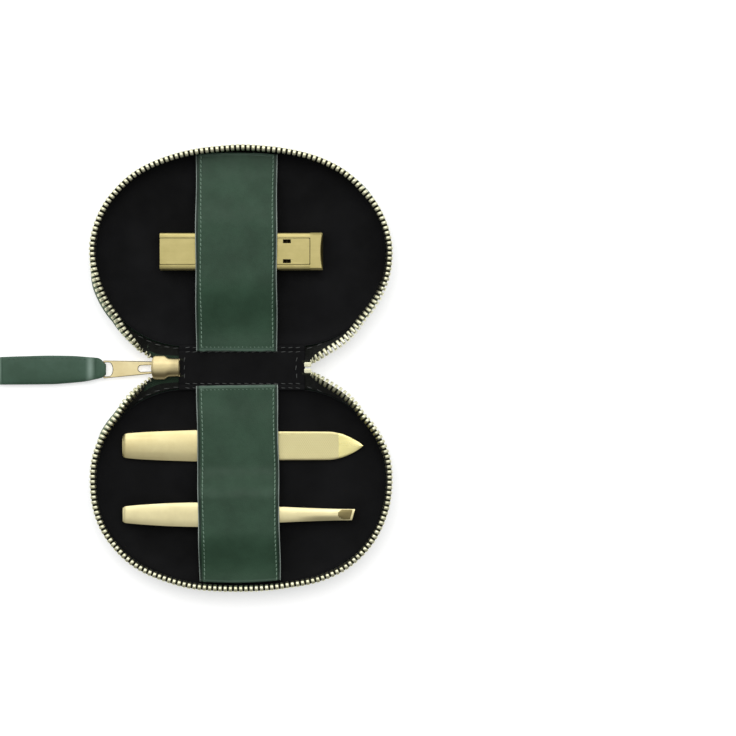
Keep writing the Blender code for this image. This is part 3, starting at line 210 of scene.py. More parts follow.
class Shape:
    """Points and faces of one piece, each face with its finish. A piece of the cover half is
    drawn on the base half, and mirrored when it is made."""

    def __init__(self, half="base"):
        self.mirror = half == "cover"
        self.points, self.faces, self.finishes, self.strip, self.wear_and_painted_light = [], [], [], [], []
        self.count = 0

    def add(self, points, faces, finish=0, strip=None, wear_and_painted_light=0.0):
        points = np.asarray(points, float).reshape(-1, 3)
        faces = [[self.count + n for n in face] for face in faces]
        self.points.append(points)
        self.faces += faces
        self.finishes += list(finish) if hasattr(finish, "__len__") else [finish] * len(faces)
        self.strip.append(np.zeros((len(points), 2)) if strip is None else strip.reshape(-1, 2))
        self.wear_and_painted_light.append(np.broadcast_to(wear_and_painted_light, len(points)).astype(float))
        self.count += len(points)

    def grid(self, rows, closed=False, caps=False, finish=None, strip=None, wear_and_painted_light=0.0):
        """Quads over rows of points; closed joins each row's end to its start. Finish goes by
        column, or by row and column, and so does the mark of wear and painted light."""
        rows = np.asarray(rows, float)
        high, wide = rows.shape[:2]
        ids = np.arange(high * wide).reshape(high, wide)
        columns = wide if closed else wide - 1
        after = np.roll(ids, -1, axis=1)
        quads = np.stack([ids[:-1], after[:-1], after[1:], ids[1:]], -1)[:, :columns]
        faces = quads.reshape(-1, 4).tolist()
        looks = np.broadcast_to(0 if finish is None else finish, (high - 1, columns))
        finishes = looks.reshape(-1).tolist()
        if caps:
            faces += [ids[0][::-1].tolist(), ids[-1].tolist()]
            finishes += [int(looks[0, 0])] * 2
        spread = np.broadcast_to(wear_and_painted_light, (high, wide)).reshape(-1)
        self.add(rows.reshape(-1, 3), faces, finishes, strip, spread)

    def tubes(self, points):
        """Many closed tubes at once; points go by tube, ring and side."""
        many, rings, sides = points.shape[:3]
        ids = np.arange(many * rings * sides).reshape(many, rings, sides)
        after = np.roll(ids, -1, axis=2)
        quads = np.stack([ids[:, :-1], after[:, :-1], after[:, 1:], ids[:, 1:]], -1)
        faces = quads.reshape(-1, 4).tolist()
        faces += ids[:, 0, ::-1].tolist() + ids[:, -1].tolist()
        self.add(points, faces)

    def plate(self, outline, holes, low, high, edge=0.0):
        """An upright plate over a plan outline, with holes through it. Its cut-back edge has the
        second finish."""
        wide = [np.array(loop, float) for loop in (outline, *holes)]
        narrow = [cut_back(loop, edge if n else -edge) for n, loop in enumerate(wide)]
        levels = [(narrow, low), (wide, low + edge), (wide, high - edge), (narrow, high)]
        if not edge:
            levels = [(wide, low), (wide, high)]
        total = len(np.vstack(wide))
        points = [np.column_stack([np.vstack(loops), np.full(total, z)]) for loops, z in levels]
        last = total * (len(levels) - 1)
        faces = []
        flat = [[Vector((x, y, 0.0)) for x, y in loop] for loop in narrow]
        for triangle in tessellate_polygon(flat):
            faces.append(list(triangle))
            faces.append([n + last for n in reversed(triangle)])
        finish = [0] * len(faces)
        for level in range(len(levels) - 1):
            start = level * total
            for loop in wide:
                for n in range(len(loop)):
                    a, b = start + n, start + (n + 1) % len(loop)
                    faces.append([a, b, b + total, a + total])
                    finish.append(1 if edge and level != 1 else 0)
                start += len(loop)
        self.add(np.vstack(points), faces, finish)

    def piece(self, name, finishes, sharp=40.0, bevel=0.0, segments=2):
        """The object, with its faces turned out and any edges rounded."""
        mesh = bpy.data.meshes.new(name)
        points = np.vstack(self.points)
        if self.mirror:
            points[:, 1] = 2 * SPINE_Y - points[:, 1]
        mesh.from_pydata((points * MM).tolist(), [], self.faces)
        mesh.polygons.foreach_set("material_index", self.finishes)
        place = mesh.attributes.new("strip", "FLOAT_VECTOR", "POINT")
        strips = np.column_stack([np.vstack(self.strip), np.zeros(self.count)])
        place.data.foreach_set("vector", strips.ravel())
        wear_and_painted_light = mesh.attributes.new("wear_and_painted_light", "FLOAT", "POINT")
        wear_and_painted_light.data.foreach_set("value", np.concatenate(self.wear_and_painted_light))
        work = bmesh.new()
        work.from_mesh(mesh)
        bmesh.ops.remove_doubles(work, verts=work.verts, dist=MERGE_WITHIN)
        bmesh.ops.recalc_face_normals(work, faces=work.faces)
        work.to_mesh(mesh)
        work.free()
        for finish in finishes:
            mesh.materials.append(finish)
        obj = placed(name, mesh)
        mesh.shade_smooth()
        if not bevel:
            mesh.set_sharp_from_angle(angle=math.radians(sharp))
            return obj
        edges = obj.modifiers.new("edges", "BEVEL")
        edges.width = bevel * MM
        edges.segments = segments
        edges.limit_method = "ANGLE"
        edges.angle_limit = math.radians(BEVEL_FROM)
        obj.modifiers.new("flats", "WEIGHTED_NORMAL").weight = 100
        applied(obj)
        return obj


def placed(name, data):
    """A new object in the scene."""
    obj = bpy.data.objects.new(name, data)
    bpy.context.scene.collection.objects.link(obj)
    return obj


def applied(obj):
    """Puts an object's modifiers into its mesh."""
    shown = obj.evaluated_get(bpy.context.evaluated_depsgraph_get())
    done = bpy.data.meshes.new_from_object(shown)
    obj.modifiers.clear()
    obj.data = done


def cut_out(obj, hole, sharp=60.0):
    """Takes the shape of a hole out of an object."""
    cutter = hole.piece("hole_cutter", list(obj.data.materials))
    cut = obj.modifiers.new("hole", "BOOLEAN")
    cut.operation, cut.solver, cut.object = "DIFFERENCE", "EXACT", cutter
    applied(obj)
    bpy.data.objects.remove(cutter)
    obj.data.shade_smooth()
    obj.data.set_sharp_from_angle(angle=math.radians(sharp))


def stands_for(nodes):
    if nodes:
        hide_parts(*nodes)


def stand(obj, body, slot, *nodes):
    """The piece rides on a body and stands for CAD nodes; the slot is not used."""
    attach(obj, body)
    stands_for(nodes)


def bend(obj, half, start, end, slot, *nodes):
    """Bakes the piece's placement into its mesh; it does not bend. Start and end, given on the
    base, have no effect.
    """
    if half == "cover":
        start, end = 2 * SPINE_Y - end, 2 * SPINE_Y - start
    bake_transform(obj)
    stands_for(nodes)


# Finishes

class Nodes:
    """A node tree, put together step by step."""

    def __init__(self, tree):
        self.tree = tree

    def put(self, node, values):
        for socket, value in values.items():
            node.inputs[socket].default_value = value

    def add(self, kind, values=None, **settings):
        node = self.tree.nodes.new(kind)
        for key, value in settings.items():
            setattr(node, key, value)
        self.put(node, values or {})
        return node

    def link(self, source, node, socket):
        self.tree.links.new(source, node.inputs[socket])

    def fed(self, kind, source, socket, result, values=None, **settings):
        """What a new node makes of a source."""
        node = self.add(kind, values, **settings)
        self.link(source, node, socket)
        return node.outputs[result]


class Finish(Nodes):
    """A node material."""

    def __init__(self, name, colour, roughness, values=None):
        self.material = bpy.data.materials.new(name)
        self.material.use_nodes = True
        super().__init__(self.material.node_tree)
        self.shader = self.tree.nodes["Principled BSDF"]
        self.put(self.shader, {"Base Color": (*colour, 1.0), "Roughness": roughness})
        self.put(self.shader, values or {})
        self.height = None

    def place(self, stretch=(1.0, 1.0, 1.0), turn=0.0, strip=False):
        """Coordinates on the piece, or along a tape."""
        if strip:
            source = self.add("ShaderNodeAttribute", attribute_name="strip").outputs["Vector"]
        else:
            source = self.add("ShaderNodeTexCoord").outputs["Object"]
        values = {"Scale": stretch, "Rotation": (0.0, 0.0, math.radians(turn))}
        return self.fed("ShaderNodeMapping", source, "Vector", "Vector", values)

    def noise(self, place, scale, detail=3.0, roughness=0.5):
        values = {"Scale": scale, "Detail": detail, "Roughness": roughness}
        return self.fed("ShaderNodeTexNoise", place, "Vector", "Fac", values)

    def cells(self, place, scale):
        return self.fed("ShaderNodeTexVoronoi", place, "Vector", "Distance", {"Scale": scale},
                        feature="DISTANCE_TO_EDGE")

    def bands(self, place, scale, direction="X", distortion=0.0):
        return self.fed("ShaderNodeTexWave", place, "Vector", "Fac",
                        {"Scale": scale, "Distortion": distortion}, bands_direction=direction)

    def ranged(self, source, low, high, to_low, to_high):
        values = {"From Min": low, "From Max": high, "To Min": to_low, "To Max": to_high}
        return self.fed("ShaderNodeMapRange", source, "Value", "Result", values)

    def sum(self, *sources, operation="ADD"):
        total = sources[0]
        for source in sources[1:]:
            node = self.add("ShaderNodeMath", operation=operation)
            self.link(total, node, 0)
            self.link(source, node, 1)
            total = node.outputs["Value"]
        return total

    def mixed(self, share, first, second):
        """A colour between two, each a colour or a socket."""
        node = self.add("ShaderNodeMix", data_type="RGBA")
        self.link(share, node, 0)
        for n, colour in ((6, first), (7, second)):
            if isinstance(colour, tuple):
                node.inputs[n].default_value = (*colour, 1.0)
            else:
                self.link(colour, node, n)
        return node.outputs[2]

    def colour(self, source):
        self.link(source, self.shader, "Base Color")

    def roughness(self, source):
        self.link(source, self.shader, "Roughness")

    def relief(self, source, depth, strength=1.0):
        """Raises the surface by a height in millimetres."""
        node = self.add("ShaderNodeBump", {"Distance": depth * MM, "Strength": strength})
        self.link(source, node, "Height")
        if self.height is not None:
            self.link(self.height, node, "Normal")
        self.height = node.outputs["Normal"]
        self.link(self.height, self.shader, "Normal")

    def wear_and_light_tone(self, base, colour, strength=1.0):
        """The base colour going over to another where the piece is marked: for wear in some places,
        for painted highlight and painted shade in others.
        """
        mark = self.add("ShaderNodeAttribute", attribute_name="wear_and_painted_light").outputs["Fac"]
        return self.mixed(self.ranged(mark, 0.0, 1.0, 0.0, strength), base, colour)


def leather(name, dark, light, wear_and_light_tone, roughness=(0.38, 0.52), specular=0.22):
    made = Finish(name, light, roughness[0], {"Specular IOR Level": specular})
    place = made.place()
    mottle = made.ranged(made.noise(place, 90.0, 5.0, 0.6), 0.35, 0.65, 0.0, 1.0)
    base = made.mixed(mottle, dark, light)
    fleck = made.ranged(made.noise(place, 900.0, 2.0), 0.55, 0.75, 0.0, 0.35)
    base = made.mixed(fleck, base, dark)
    made.colour(made.wear_and_light_tone(base, wear_and_light_tone))
    grain = made.ranged(made.cells(place, 1500.0), 0.0, 0.25, 0.0, 1.0)
    made.relief(grain, 0.03, 0.35)
    made.relief(made.noise(place, 420.0, 4.0, 0.6), 0.09, 0.35)
    made.roughness(made.ranged(made.noise(place, 260.0, 4.0), 0.3, 0.7, *roughness))
    return made.material


def lining(name):
    made = Finish(name, (0.006, 0.006, 0.0065), 0.6, {"Specular IOR Level": 0.06})
    place = made.place()
    patch = made.ranged(made.noise(place, 45.0, 4.0, 0.6), 0.35, 0.7, 0.0, 1.0)
    base = made.mixed(patch, (0.0046, 0.0046, 0.0048), (0.0076, 0.0077, 0.0084))
    made.colour(made.wear_and_light_tone(base, (0.03, 0.032, 0.034), 0.7))
    made.relief(made.ranged(made.cells(place, 2100.0), 0.0, 0.2, 0.0, 1.0), 0.02, 0.35)
    made.relief(made.noise(place, 160.0, 3.0), 0.12, 0.3)
    made.roughness(made.ranged(made.noise(place, 120.0, 3.0), 0.3, 0.7, 0.5, 0.72))
    return made.material


def woven_tape(name, dark, light):
    made = Finish(name, light, 0.85, {"Specular IOR Level": 0.2, "Sheen Weight": 0.08})
    place = made.place(strip=True)
    weave = made.sum(made.bands(place, 0.62, "DIAGONAL"), made.bands(place, 0.5, "Y"),
                     operation="MULTIPLY")
    tone = made.sum(made.ranged(weave, 0.0, 1.0, 0.15, 0.8),
                    made.ranged(made.noise(made.place(), 500.0, 3.0), 0.3, 0.7, -0.15, 0.2))
    made.colour(made.wear_and_light_tone(made.mixed(tone, dark, light), (0.17, 0.23, 0.15), 0.85))
    made.relief(weave, 0.08, 0.6)
    made.roughness(made.ranged(made.noise(made.place(), 700.0), 0.3, 0.7, 0.75, 0.95))
    return made.material


def thread(name, dark, light):
    made = Finish(name, light, 0.6, {"Specular IOR Level": 0.35})
    place = made.place()
    twist = made.bands(made.place(turn=35.0), 1100.0, "DIAGONAL", 1.0)
    tone = made.sum(made.ranged(twist, 0.0, 1.0, 0.1, 0.75),
                    made.ranged(made.noise(place, 600.0), 0.35, 0.65, -0.1, 0.25))
    made.colour(made.mixed(tone, dark, light))
    made.relief(twist, 0.03, 0.5)
    return made.material


def metal(name, dark, light, roughness, brush=0.0, wear_and_light_tone=(0.5, 0.44, 0.22)):
    made = Finish(name, light, roughness[0], {"Metallic": 1.0})
    place = made.place()
    tone = made.ranged(made.noise(place, 140.0, 4.0, 0.6), 0.3, 0.7, 0.0, 1.0)
    made.colour(made.wear_and_light_tone(made.mixed(tone, dark, light), wear_and_light_tone))
    streak = made.noise(made.place((25.0, 900.0, 900.0)), 1.0, 3.0, 0.65)
    made.roughness(made.ranged(streak, 0.3, 0.7, *roughness))
    if brush:
        made.relief(streak, 0.02, brush)
    made.relief(made.noise(place, 1800.0, 2.0), 0.01, 0.15)
    return made.material


def file_cut(name):
    """The cut surface of the file: fine crossing grooves."""
    made = Finish(name, (0.6, 0.54, 0.3), 0.48, {"Metallic": 1.0})
    cross = made.sum(made.bands(made.place(turn=32.0), 480.0, "X"),
                     made.bands(made.place(turn=-32.0), 480.0, "X"), operation="MULTIPLY")
    tone = made.ranged(cross, 0.0, 1.0, 0.0, 1.0)
    made.colour(made.mixed(tone, (0.76, 0.69, 0.37), (0.6, 0.54, 0.28)))
    made.relief(cross, 0.05, 0.5)
    made.roughness(made.ranged(made.noise(made.place(), 900.0), 0.3, 0.7, 0.42, 0.55))
    return made.material


def enamel(name):
    made = Finish(name, (0.006, 0.014, 0.01), 0.28, {"Coat Weight": 0.5, "Coat Roughness": 0.1})
    place = made.place()
    tone = made.ranged(made.noise(place, 400.0, 3.0), 0.35, 0.65, 0.0, 1.0)
    made.colour(made.mixed(tone, (0.005, 0.011, 0.008), (0.009, 0.02, 0.014)))
    made.relief(made.noise(place, 900.0, 2.0), 0.02, 0.2)
    return made.material


def board(name):
    made = Finish(name, (0.05, 0.05, 0.048), 0.9)
    place = made.place()
    tone = made.noise(place, 700.0, 5.0, 0.7)
    made.colour(made.mixed(tone, (0.03, 0.03, 0.03), (0.07, 0.068, 0.064)))
    made.relief(tone, 0.05, 0.5)
    return made.material


GREEN = leather("green_leather_grained", (0.0235, 0.056, 0.0315), (0.034, 0.078, 0.0455),
                (0.22, 0.32, 0.26))
# A lighter copy of the green leather for the pull tab: painted light. Its last colour is the
# painted highlight on the tab's ridge and far end.
GREEN_TAB_LIT = leather("green_leather_tab_painted_light", (0.044, 0.091, 0.058), (0.062, 0.122, 0.083),
                    (0.26, 0.36, 0.3))
# A darker copy of the green leather: painted shade in the groove beside each strap's cut edge.
GREEN_GROOVE_SHADE = leather("green_leather_painted_groove_shade", (0.010, 0.026, 0.015), (0.017, 0.038, 0.024),
                     (0.1, 0.15, 0.12))
CUT_EDGE = leather("leather_cut_edge", (0.2, 0.24, 0.22), (0.36, 0.41, 0.38), (0.4, 0.45, 0.41),
                   roughness=(0.6, 0.8), specular=0.2)
BLACK = lining("black_lining_fine")
TAPE_GREEN = woven_tape("tape_green", (0.022, 0.042, 0.026), (0.075, 0.115, 0.075))
TAPE_BLACK = woven_tape("tape_black", (0.003, 0.0035, 0.0027), (0.008, 0.0092, 0.0065))
CORD = woven_tape("tape_cord", (0.006, 0.007, 0.004), (0.03, 0.034, 0.02))
# A darker copy of the green tape: painted shade on the tape beside the slider.
GUSSET_SHADE = woven_tape("tape_gusset_green_painted_shade", (0.009, 0.02, 0.011), (0.026, 0.052, 0.03))
THREAD = thread("thread_green", (0.08, 0.145, 0.1), (0.26, 0.38, 0.29))
THREAD_DEEP = thread("thread_deep_green", (0.022, 0.045, 0.03), (0.06, 0.1, 0.075))
THREAD_DARK = thread("thread_grey", (0.035, 0.037, 0.036), (0.1, 0.105, 0.1))
TEETH = metal("teeth_pale_gold", (0.66, 0.65, 0.44), (0.8, 0.79, 0.58), (0.26, 0.38))
GOLD = metal("gold_brushed", (0.69, 0.59, 0.3), (0.77, 0.68, 0.37), (0.34, 0.46), 0.25)
GOLD_PALE = metal("gold_pale_satin", (0.8, 0.71, 0.4), (0.9, 0.81, 0.47), (0.36, 0.48), 0.2)
GOLD_BRIGHT = metal("gold_polished_tip", (0.93, 0.84, 0.36), (0.99, 0.9, 0.42), (0.24, 0.34),
                    0.1)
GOLD_DEEP = metal("gold_satin", (0.43, 0.37, 0.15), (0.5, 0.43, 0.185), (0.3, 0.42), 0.3)
# Its last colour, a dark brown, is painted shade on the slider's lower side and tail.
SLIDER_GOLD = metal("gold_slider", (0.6, 0.5, 0.26), (0.7, 0.6, 0.33), (0.36, 0.48), 0.1,
                    wear_and_light_tone=(0.17, 0.135, 0.065))
PULLER_GOLD = metal("gold_puller", (0.72, 0.6, 0.32), (0.84, 0.73, 0.42), (0.28, 0.4), 0.1)
# Painted shade on the puller's chamfered edges.
GOLD_SHADE = metal("gold_bevel_painted_shade", (0.3, 0.25, 0.14), (0.42, 0.35, 0.21), (0.3, 0.42))
# A dark copy of the gold: painted shade on the ground facet at the tweezers' tips.
GROUND_SHADE = metal("gold_ground_tip_painted_shade", (0.22, 0.18, 0.08), (0.3, 0.25, 0.11), (0.35, 0.5), 0.3)
# Painted shade inside the clipper's channel and on its hinge pin.
CHANNEL_SHADE_METAL = metal("channel_shadowed_metal", (0.03, 0.025, 0.012), (0.05, 0.042, 0.02),
                   (0.5, 0.65))
FILE_CUT = file_cut("file_cut_surface")
ENAMEL = enamel("badge_enamel_dark")
BOARD = board("stiffener_board_fibre")


# Stitches

STITCH_RINGS = np.array([-1.0, -0.8, -0.35, 0.35, 0.8, 1.0])
STITCH_SIDES = np.arange(6) * math.tau / 6


def stitch_row(shape, path, normals, pitch=1.5, length=1.15, width=0.34, lift=0.2, slant=8.0):
    """Short threads along a path, each diving into the leather at its ends."""
    marks = along_path(path)
    many = max(1, int(marks[-1] / pitch))
    where = (np.arange(many) + 0.5) * marks[-1] / many
    place = at_marks(path, marks, where)
    ahead = unit(at_marks(path, marks, where + 0.2) - at_marks(path, marks, where - 0.2))
    up = unit(at_marks(normals, marks, where))
    side = unit(np.cross(ahead, up))
    turn = math.radians(slant)
    run = ahead * math.cos(turn) + side * math.sin(turn)
    across = unit(np.cross(run, up))
    u = STITCH_RINGS[None, :, None, None]
    radius = width / 2 * np.sqrt(np.maximum(1 - np.abs(u) ** 3, 0.08))
    rise = lift * (1 - u * u) - width * 0.2
    points = (place[:, None, None] + run[:, None, None] * (length / 2 * u)
              + up[:, None, None] * (rise + radius * np.sin(STITCH_SIDES)[None, None, :, None])
              + across[:, None, None] * (radius * np.cos(STITCH_SIDES)[None, None, :, None]))
    shape.tubes(points)


# Panels

PANEL_STATIONS = np.linspace(0.0, RIM_LENGTH, 289)[:-1]
PANEL_CENTRE = np.array([0.0, -1.5, 0.0])
PANEL_FLAT = 14.4
LEATHER_THICK = 1.0
UNDER_INSETS = (PANEL_FLAT, 12.8, 11.2, 9.6, 8.1, 6.8, 5.6, 4.6, 3.8, 3.2, 2.9, 2.7, 2.5, 2.3, 2.1,
                1.8, 1.4, 1.05, 0.75, 0.55, 0.44)
EDGE_ROUND = ((0.4, 2.7), (0.38, 3.0), (0.42, 3.28), (0.55, 3.5), (0.75, 3.6), (0.95, 3.58),
              (1.08, 3.4), (1.15, 3.1))
TOP_INSETS = (1.3, 2.0, 3.2, 5.0, 7.5, 10.5, PANEL_FLAT)
STITCH_INSET = 2.5
POCKET_HALF = 4.4
LINING_Z = 3.2
LINING_THICK = 0.5
LINING_FLAT = 9.0
LINING_INSETS = (LINING_FLAT, 7.8, 6.6, 5.4, 4.4, 3.6, 3.0, 2.6, 2.3, 2.1, 1.95)
LINING_EDGE = ((1.85, 5.12), (1.78, 5.22), (1.68, 5.22), (1.62, 5.1), (1.62, 4.7))

GIVE_TURNS = np.arange(-186.0, 31.0, 12.0)
GIVE = {
    "base": (0.35, 0.0, -0.1, -0.2, 0.2, 0.0, 0.2, 0.0, -0.1, -0.15, -0.2, 0.5, 0.85, 0.4, 0.2, 0.6,
             0.95, 0.6, 0.1),
    "cover": (0.0, 0.35, -0.5, -1.1, -0.9, -1.05, -0.9, -0.75, -0.3, -0.55, -0.65, -0.6, -0.75,
              -1.3, -0.4, 0.75, 0.65, 0.4, 0.15),
}


def give(half, place):
    """How far the soft rim stands outside its pattern, by direction from the middle."""
    turn = np.degrees(np.arctan2(place[:, 1] - 3.3, place[:, 0]))
    turn = np.where(turn > 90.0, turn - 360.0, turn)
    return np.interp(turn, GIVE_TURNS, GIVE[half]) * smooth((28.0 - place[:, 1]) / 6.0)


def swell(half, place):
    """Share of the soft swelling of a half's wall, round its corner by the slider."""
    low, rise, high, fall = (9.0, 9.0, 33.0, 8.0) if half == "base" else (-1.0, 14.0, 36.0, 8.0)
    y = place[:, 1]
    return np.where(place[:, 0] < 0, smooth((y - low) / rise) * smooth((high - y) / fall), 0.0)


def edge_push(half, distance, inset):
    """How far the outer leather gives way outwards under the swollen wall."""
    most = 1.3 if half == "base" else 1.1
    return most * swell(half, rim_at(distance)) * smooth((7.0 - inset) / 6.0)


def under_z(inset):
    """Height of the leather's outside, with the groove that its stitches lie in."""
    return float(leather_z(inset) + 0.14 * np.exp(-((inset - STITCH_INSET) / 0.3) ** 2))


def leather_row(half, distance, inset, z):
    return on_rim(distance, inset - edge_push(half, distance, inset), z)


def skin(half, made, closing):
    """A closed skin through rows, each with its mark of wear and painted light, drawn in towards
    a last point.
    """
    made.append((closing + (made[-1][0] - closing) * 0.02, 0.0))
    rows, wear_and_painted_light = zip(*made)
    shape = Shape(half)
    shape.grid(rows, closed=True, caps=True, wear_and_painted_light=np.array(wear_and_painted_light)[:, None])
    return shape


def make_outer_leather(half):
    """The outer leather: a shallow dome with a turned edge and a sewn groove."""
    stations = PANEL_STATIONS
    first = leather_row(half, stations, PANEL_FLAT, 0.0)
    made = []
    for share in (0.02, 0.3, 0.6, 0.82):
        made.append((PANEL_CENTRE + (first - PANEL_CENTRE) * share, 0.0))
    for inset in UNDER_INSETS:
        row = leather_row(half, stations, inset, under_z(inset))
        made.append((row, 0.1 if inset < 1.0 else 0.0))
    for inset, z in EDGE_ROUND:
        made.append((leather_row(half, stations, inset, z), 0.35 if z > 3.2 else 0.18))
    for inset in TOP_INSETS:
        top = float(leather_z(inset)) + LEATHER_THICK
        made.append((leather_row(half, stations, inset, top), 0.0))
    shape = skin(half, made, PANEL_CENTRE + (0.0, 0.0, LEATHER_THICK))
    obj = shape.piece(f"{half}_outer_leather", [GREEN])
    if half == "cover":
        pocket = Shape()
        pocket.plate(corner_round(square(*BADGE_PLACE, POCKET_HALF), 0.55), [], -0.5, 0.7)
        cut_out(obj, pocket, 40.0)
    stand(obj, half, "green_leather", f"{half}_leather_shell")
    around = np.linspace(0.0, RIM_LENGTH, 600)
    slope = float(leather_z(STITCH_INSET + 0.2) - leather_z(STITCH_INSET - 0.2)) / 0.4
    normals = -slope * np.column_stack([rim_out(around), np.zeros(len(around))]) - (0.0, 0.0, 1.0)
    path = leather_row(half, around, STITCH_INSET, under_z(STITCH_INSET))
    sewn = Shape(half)
    stitch_row(sewn, path, normals, pitch=2.1, length=1.6, width=0.42, lift=0.16, slant=6.0)
    stand(sewn.piece(f"{half}_edge_stitches", [THREAD]), half, "green_leather")


def make_lining(half):
    """The black lining: a shallow tray, a little uneven on its floor."""
    stations = PANEL_STATIONS
    centre = PANEL_CENTRE + (0.0, 0.0, LINING_Z)
    first = on_rim(stations, LINING_FLAT, LINING_Z)
    made = []
    for share in np.linspace(0.02, 0.94, 22):
        row = centre + (first - centre) * share
        row[:, 2] += 0.1 * ripple(row[:, 0], row[:, 1]) * min(1.0, (0.97 - share) * 6)
        made.append((row, 0.0))
    made += [(on_rim(stations, inset, float(lining_z(inset))), 0.0) for inset in LINING_INSETS]
    made += [(on_rim(stations, inset, z), 0.5) for inset, z in LINING_EDGE]
    for inset in (2.2, 3.2, 5.0, LINING_FLAT):
        made.append((on_rim(stations, inset, float(lining_z(inset)) - LINING_THICK), 0.0))
    obj = skin(half, made, centre - (0.0, 0.0, LINING_THICK)).piece(f"{half}_lining_tray", [BLACK])
    stand(obj, half, "black_lining", f"{half}_lining")


# Zip

FOOT_Z = 4.2
FOOT_INSET = 1.2
FOOT_DEPTH = 1.25
CHAIN_Z = 10.025
CHAIN_INSET = 0.85
BEAD_DROP = 0.75
TOOTH_PITCH = 1.9
TEETH_FROM, TEETH_TO = -32.6, 25.0
END_BEND = (32.0, 38.5)
END_ROUTES = {
    "left": ([(-42.6, 13.2), (-36.7, 6.9), (-33.7, 4.4)],
             [(-31.0, 3.0), (-26.0, 2.75), (-20.9, 2.75)]),
    "right": ([(42.3, 13.6), (37.0, 8.75), (26.3, 2.3)], [(24.6, 2.0), (22.5, 2.0)]),
}
RIM_START = rim_where_x(-46.0)
# Share of the way from foot to bead, and thickness outwards and inwards
TAPE_ROWS = ((-1, 0.28, 0.28), (0.0, 0.28, 0.28), (0.15, 0.28, 0.28), (0.3, 0.28, 0.28),
             (0.5, 0.28, 0.28), (0.7, 0.3, 0.28), (0.85, 0.45, 0.3), (0.95, 0.8, 0.42),
             (1.0, 0.98, 0.56), (1.05, 0.94, 0.55), (1.11, 0.4, 0.3))


def spline(knots, count):
    """A smooth curve through a few points."""
    knots = np.array(knots, float)
    spans = len(knots) - 1
    place = np.linspace(0.0, spans, count)
    n = np.minimum(place.astype(int), spans - 1)
    t = (place - n)[:, None]
    ends = np.vstack([2 * knots[0] - knots[1], knots, 2 * knots[-1] - knots[-2]])
    a, b, c, d = ends[n], ends[n + 1], ends[n + 2], ends[n + 3]
    return 0.5 * (2 * b + (c - a) * t + (2 * a - 5 * b + 4 * c - d) * t * t
                  + (3 * b - a - 3 * c + d) * t ** 3)


def end_path(side):
    """Foot and chain middle of one bending end, from the rim to past the spine's end."""
    sign = -1.0 if side == "left" else 1.0
    rim_start = RIM_START if side == "left" else RIM_LENGTH - RIM_START
    route, tail = END_ROUTES[side]
    first = on_rim(rim_start, CHAIN_INSET, 0.0)[0, :2]
    chain = spline([first] + [(x, SPINE_Y - off) for x, off in route], 161)
    share = np.linspace(0.0, 1.0, 161)
    span = RIM_START - rim_where_x(-abs(route[-1][0]))
    foot = on_rim(rim_start + sign * span * share, FOOT_INSET, FOOT_Z)
    flat = np.linalg.norm(chain - foot[:, :2], axis=1)
    height = FOOT_Z + np.sqrt(np.maximum((CHAIN_Z - FOOT_Z) ** 2 - flat ** 2, 0.0))
    low = height < CHANNEL_Z
    height[low] += ((CHANNEL_Z - height) * smooth(share))[low]
    chain = np.column_stack([chain, height])
    more = spline([route[-1], *tail], 41)[1:]
    more = spread_out(more[:, 0], SPINE_Y - more[:, 1], CHANNEL_Z)
    reach = span + (abs(route[-1][0]) - abs(tail[-1][0])) * np.linspace(0.0, 1.0, 41)[1:]
    more_foot = on_rim(rim_start + sign * reach, FOOT_INSET, FOOT_Z)
    return np.vstack([foot, more_foot]), np.vstack([chain, more])


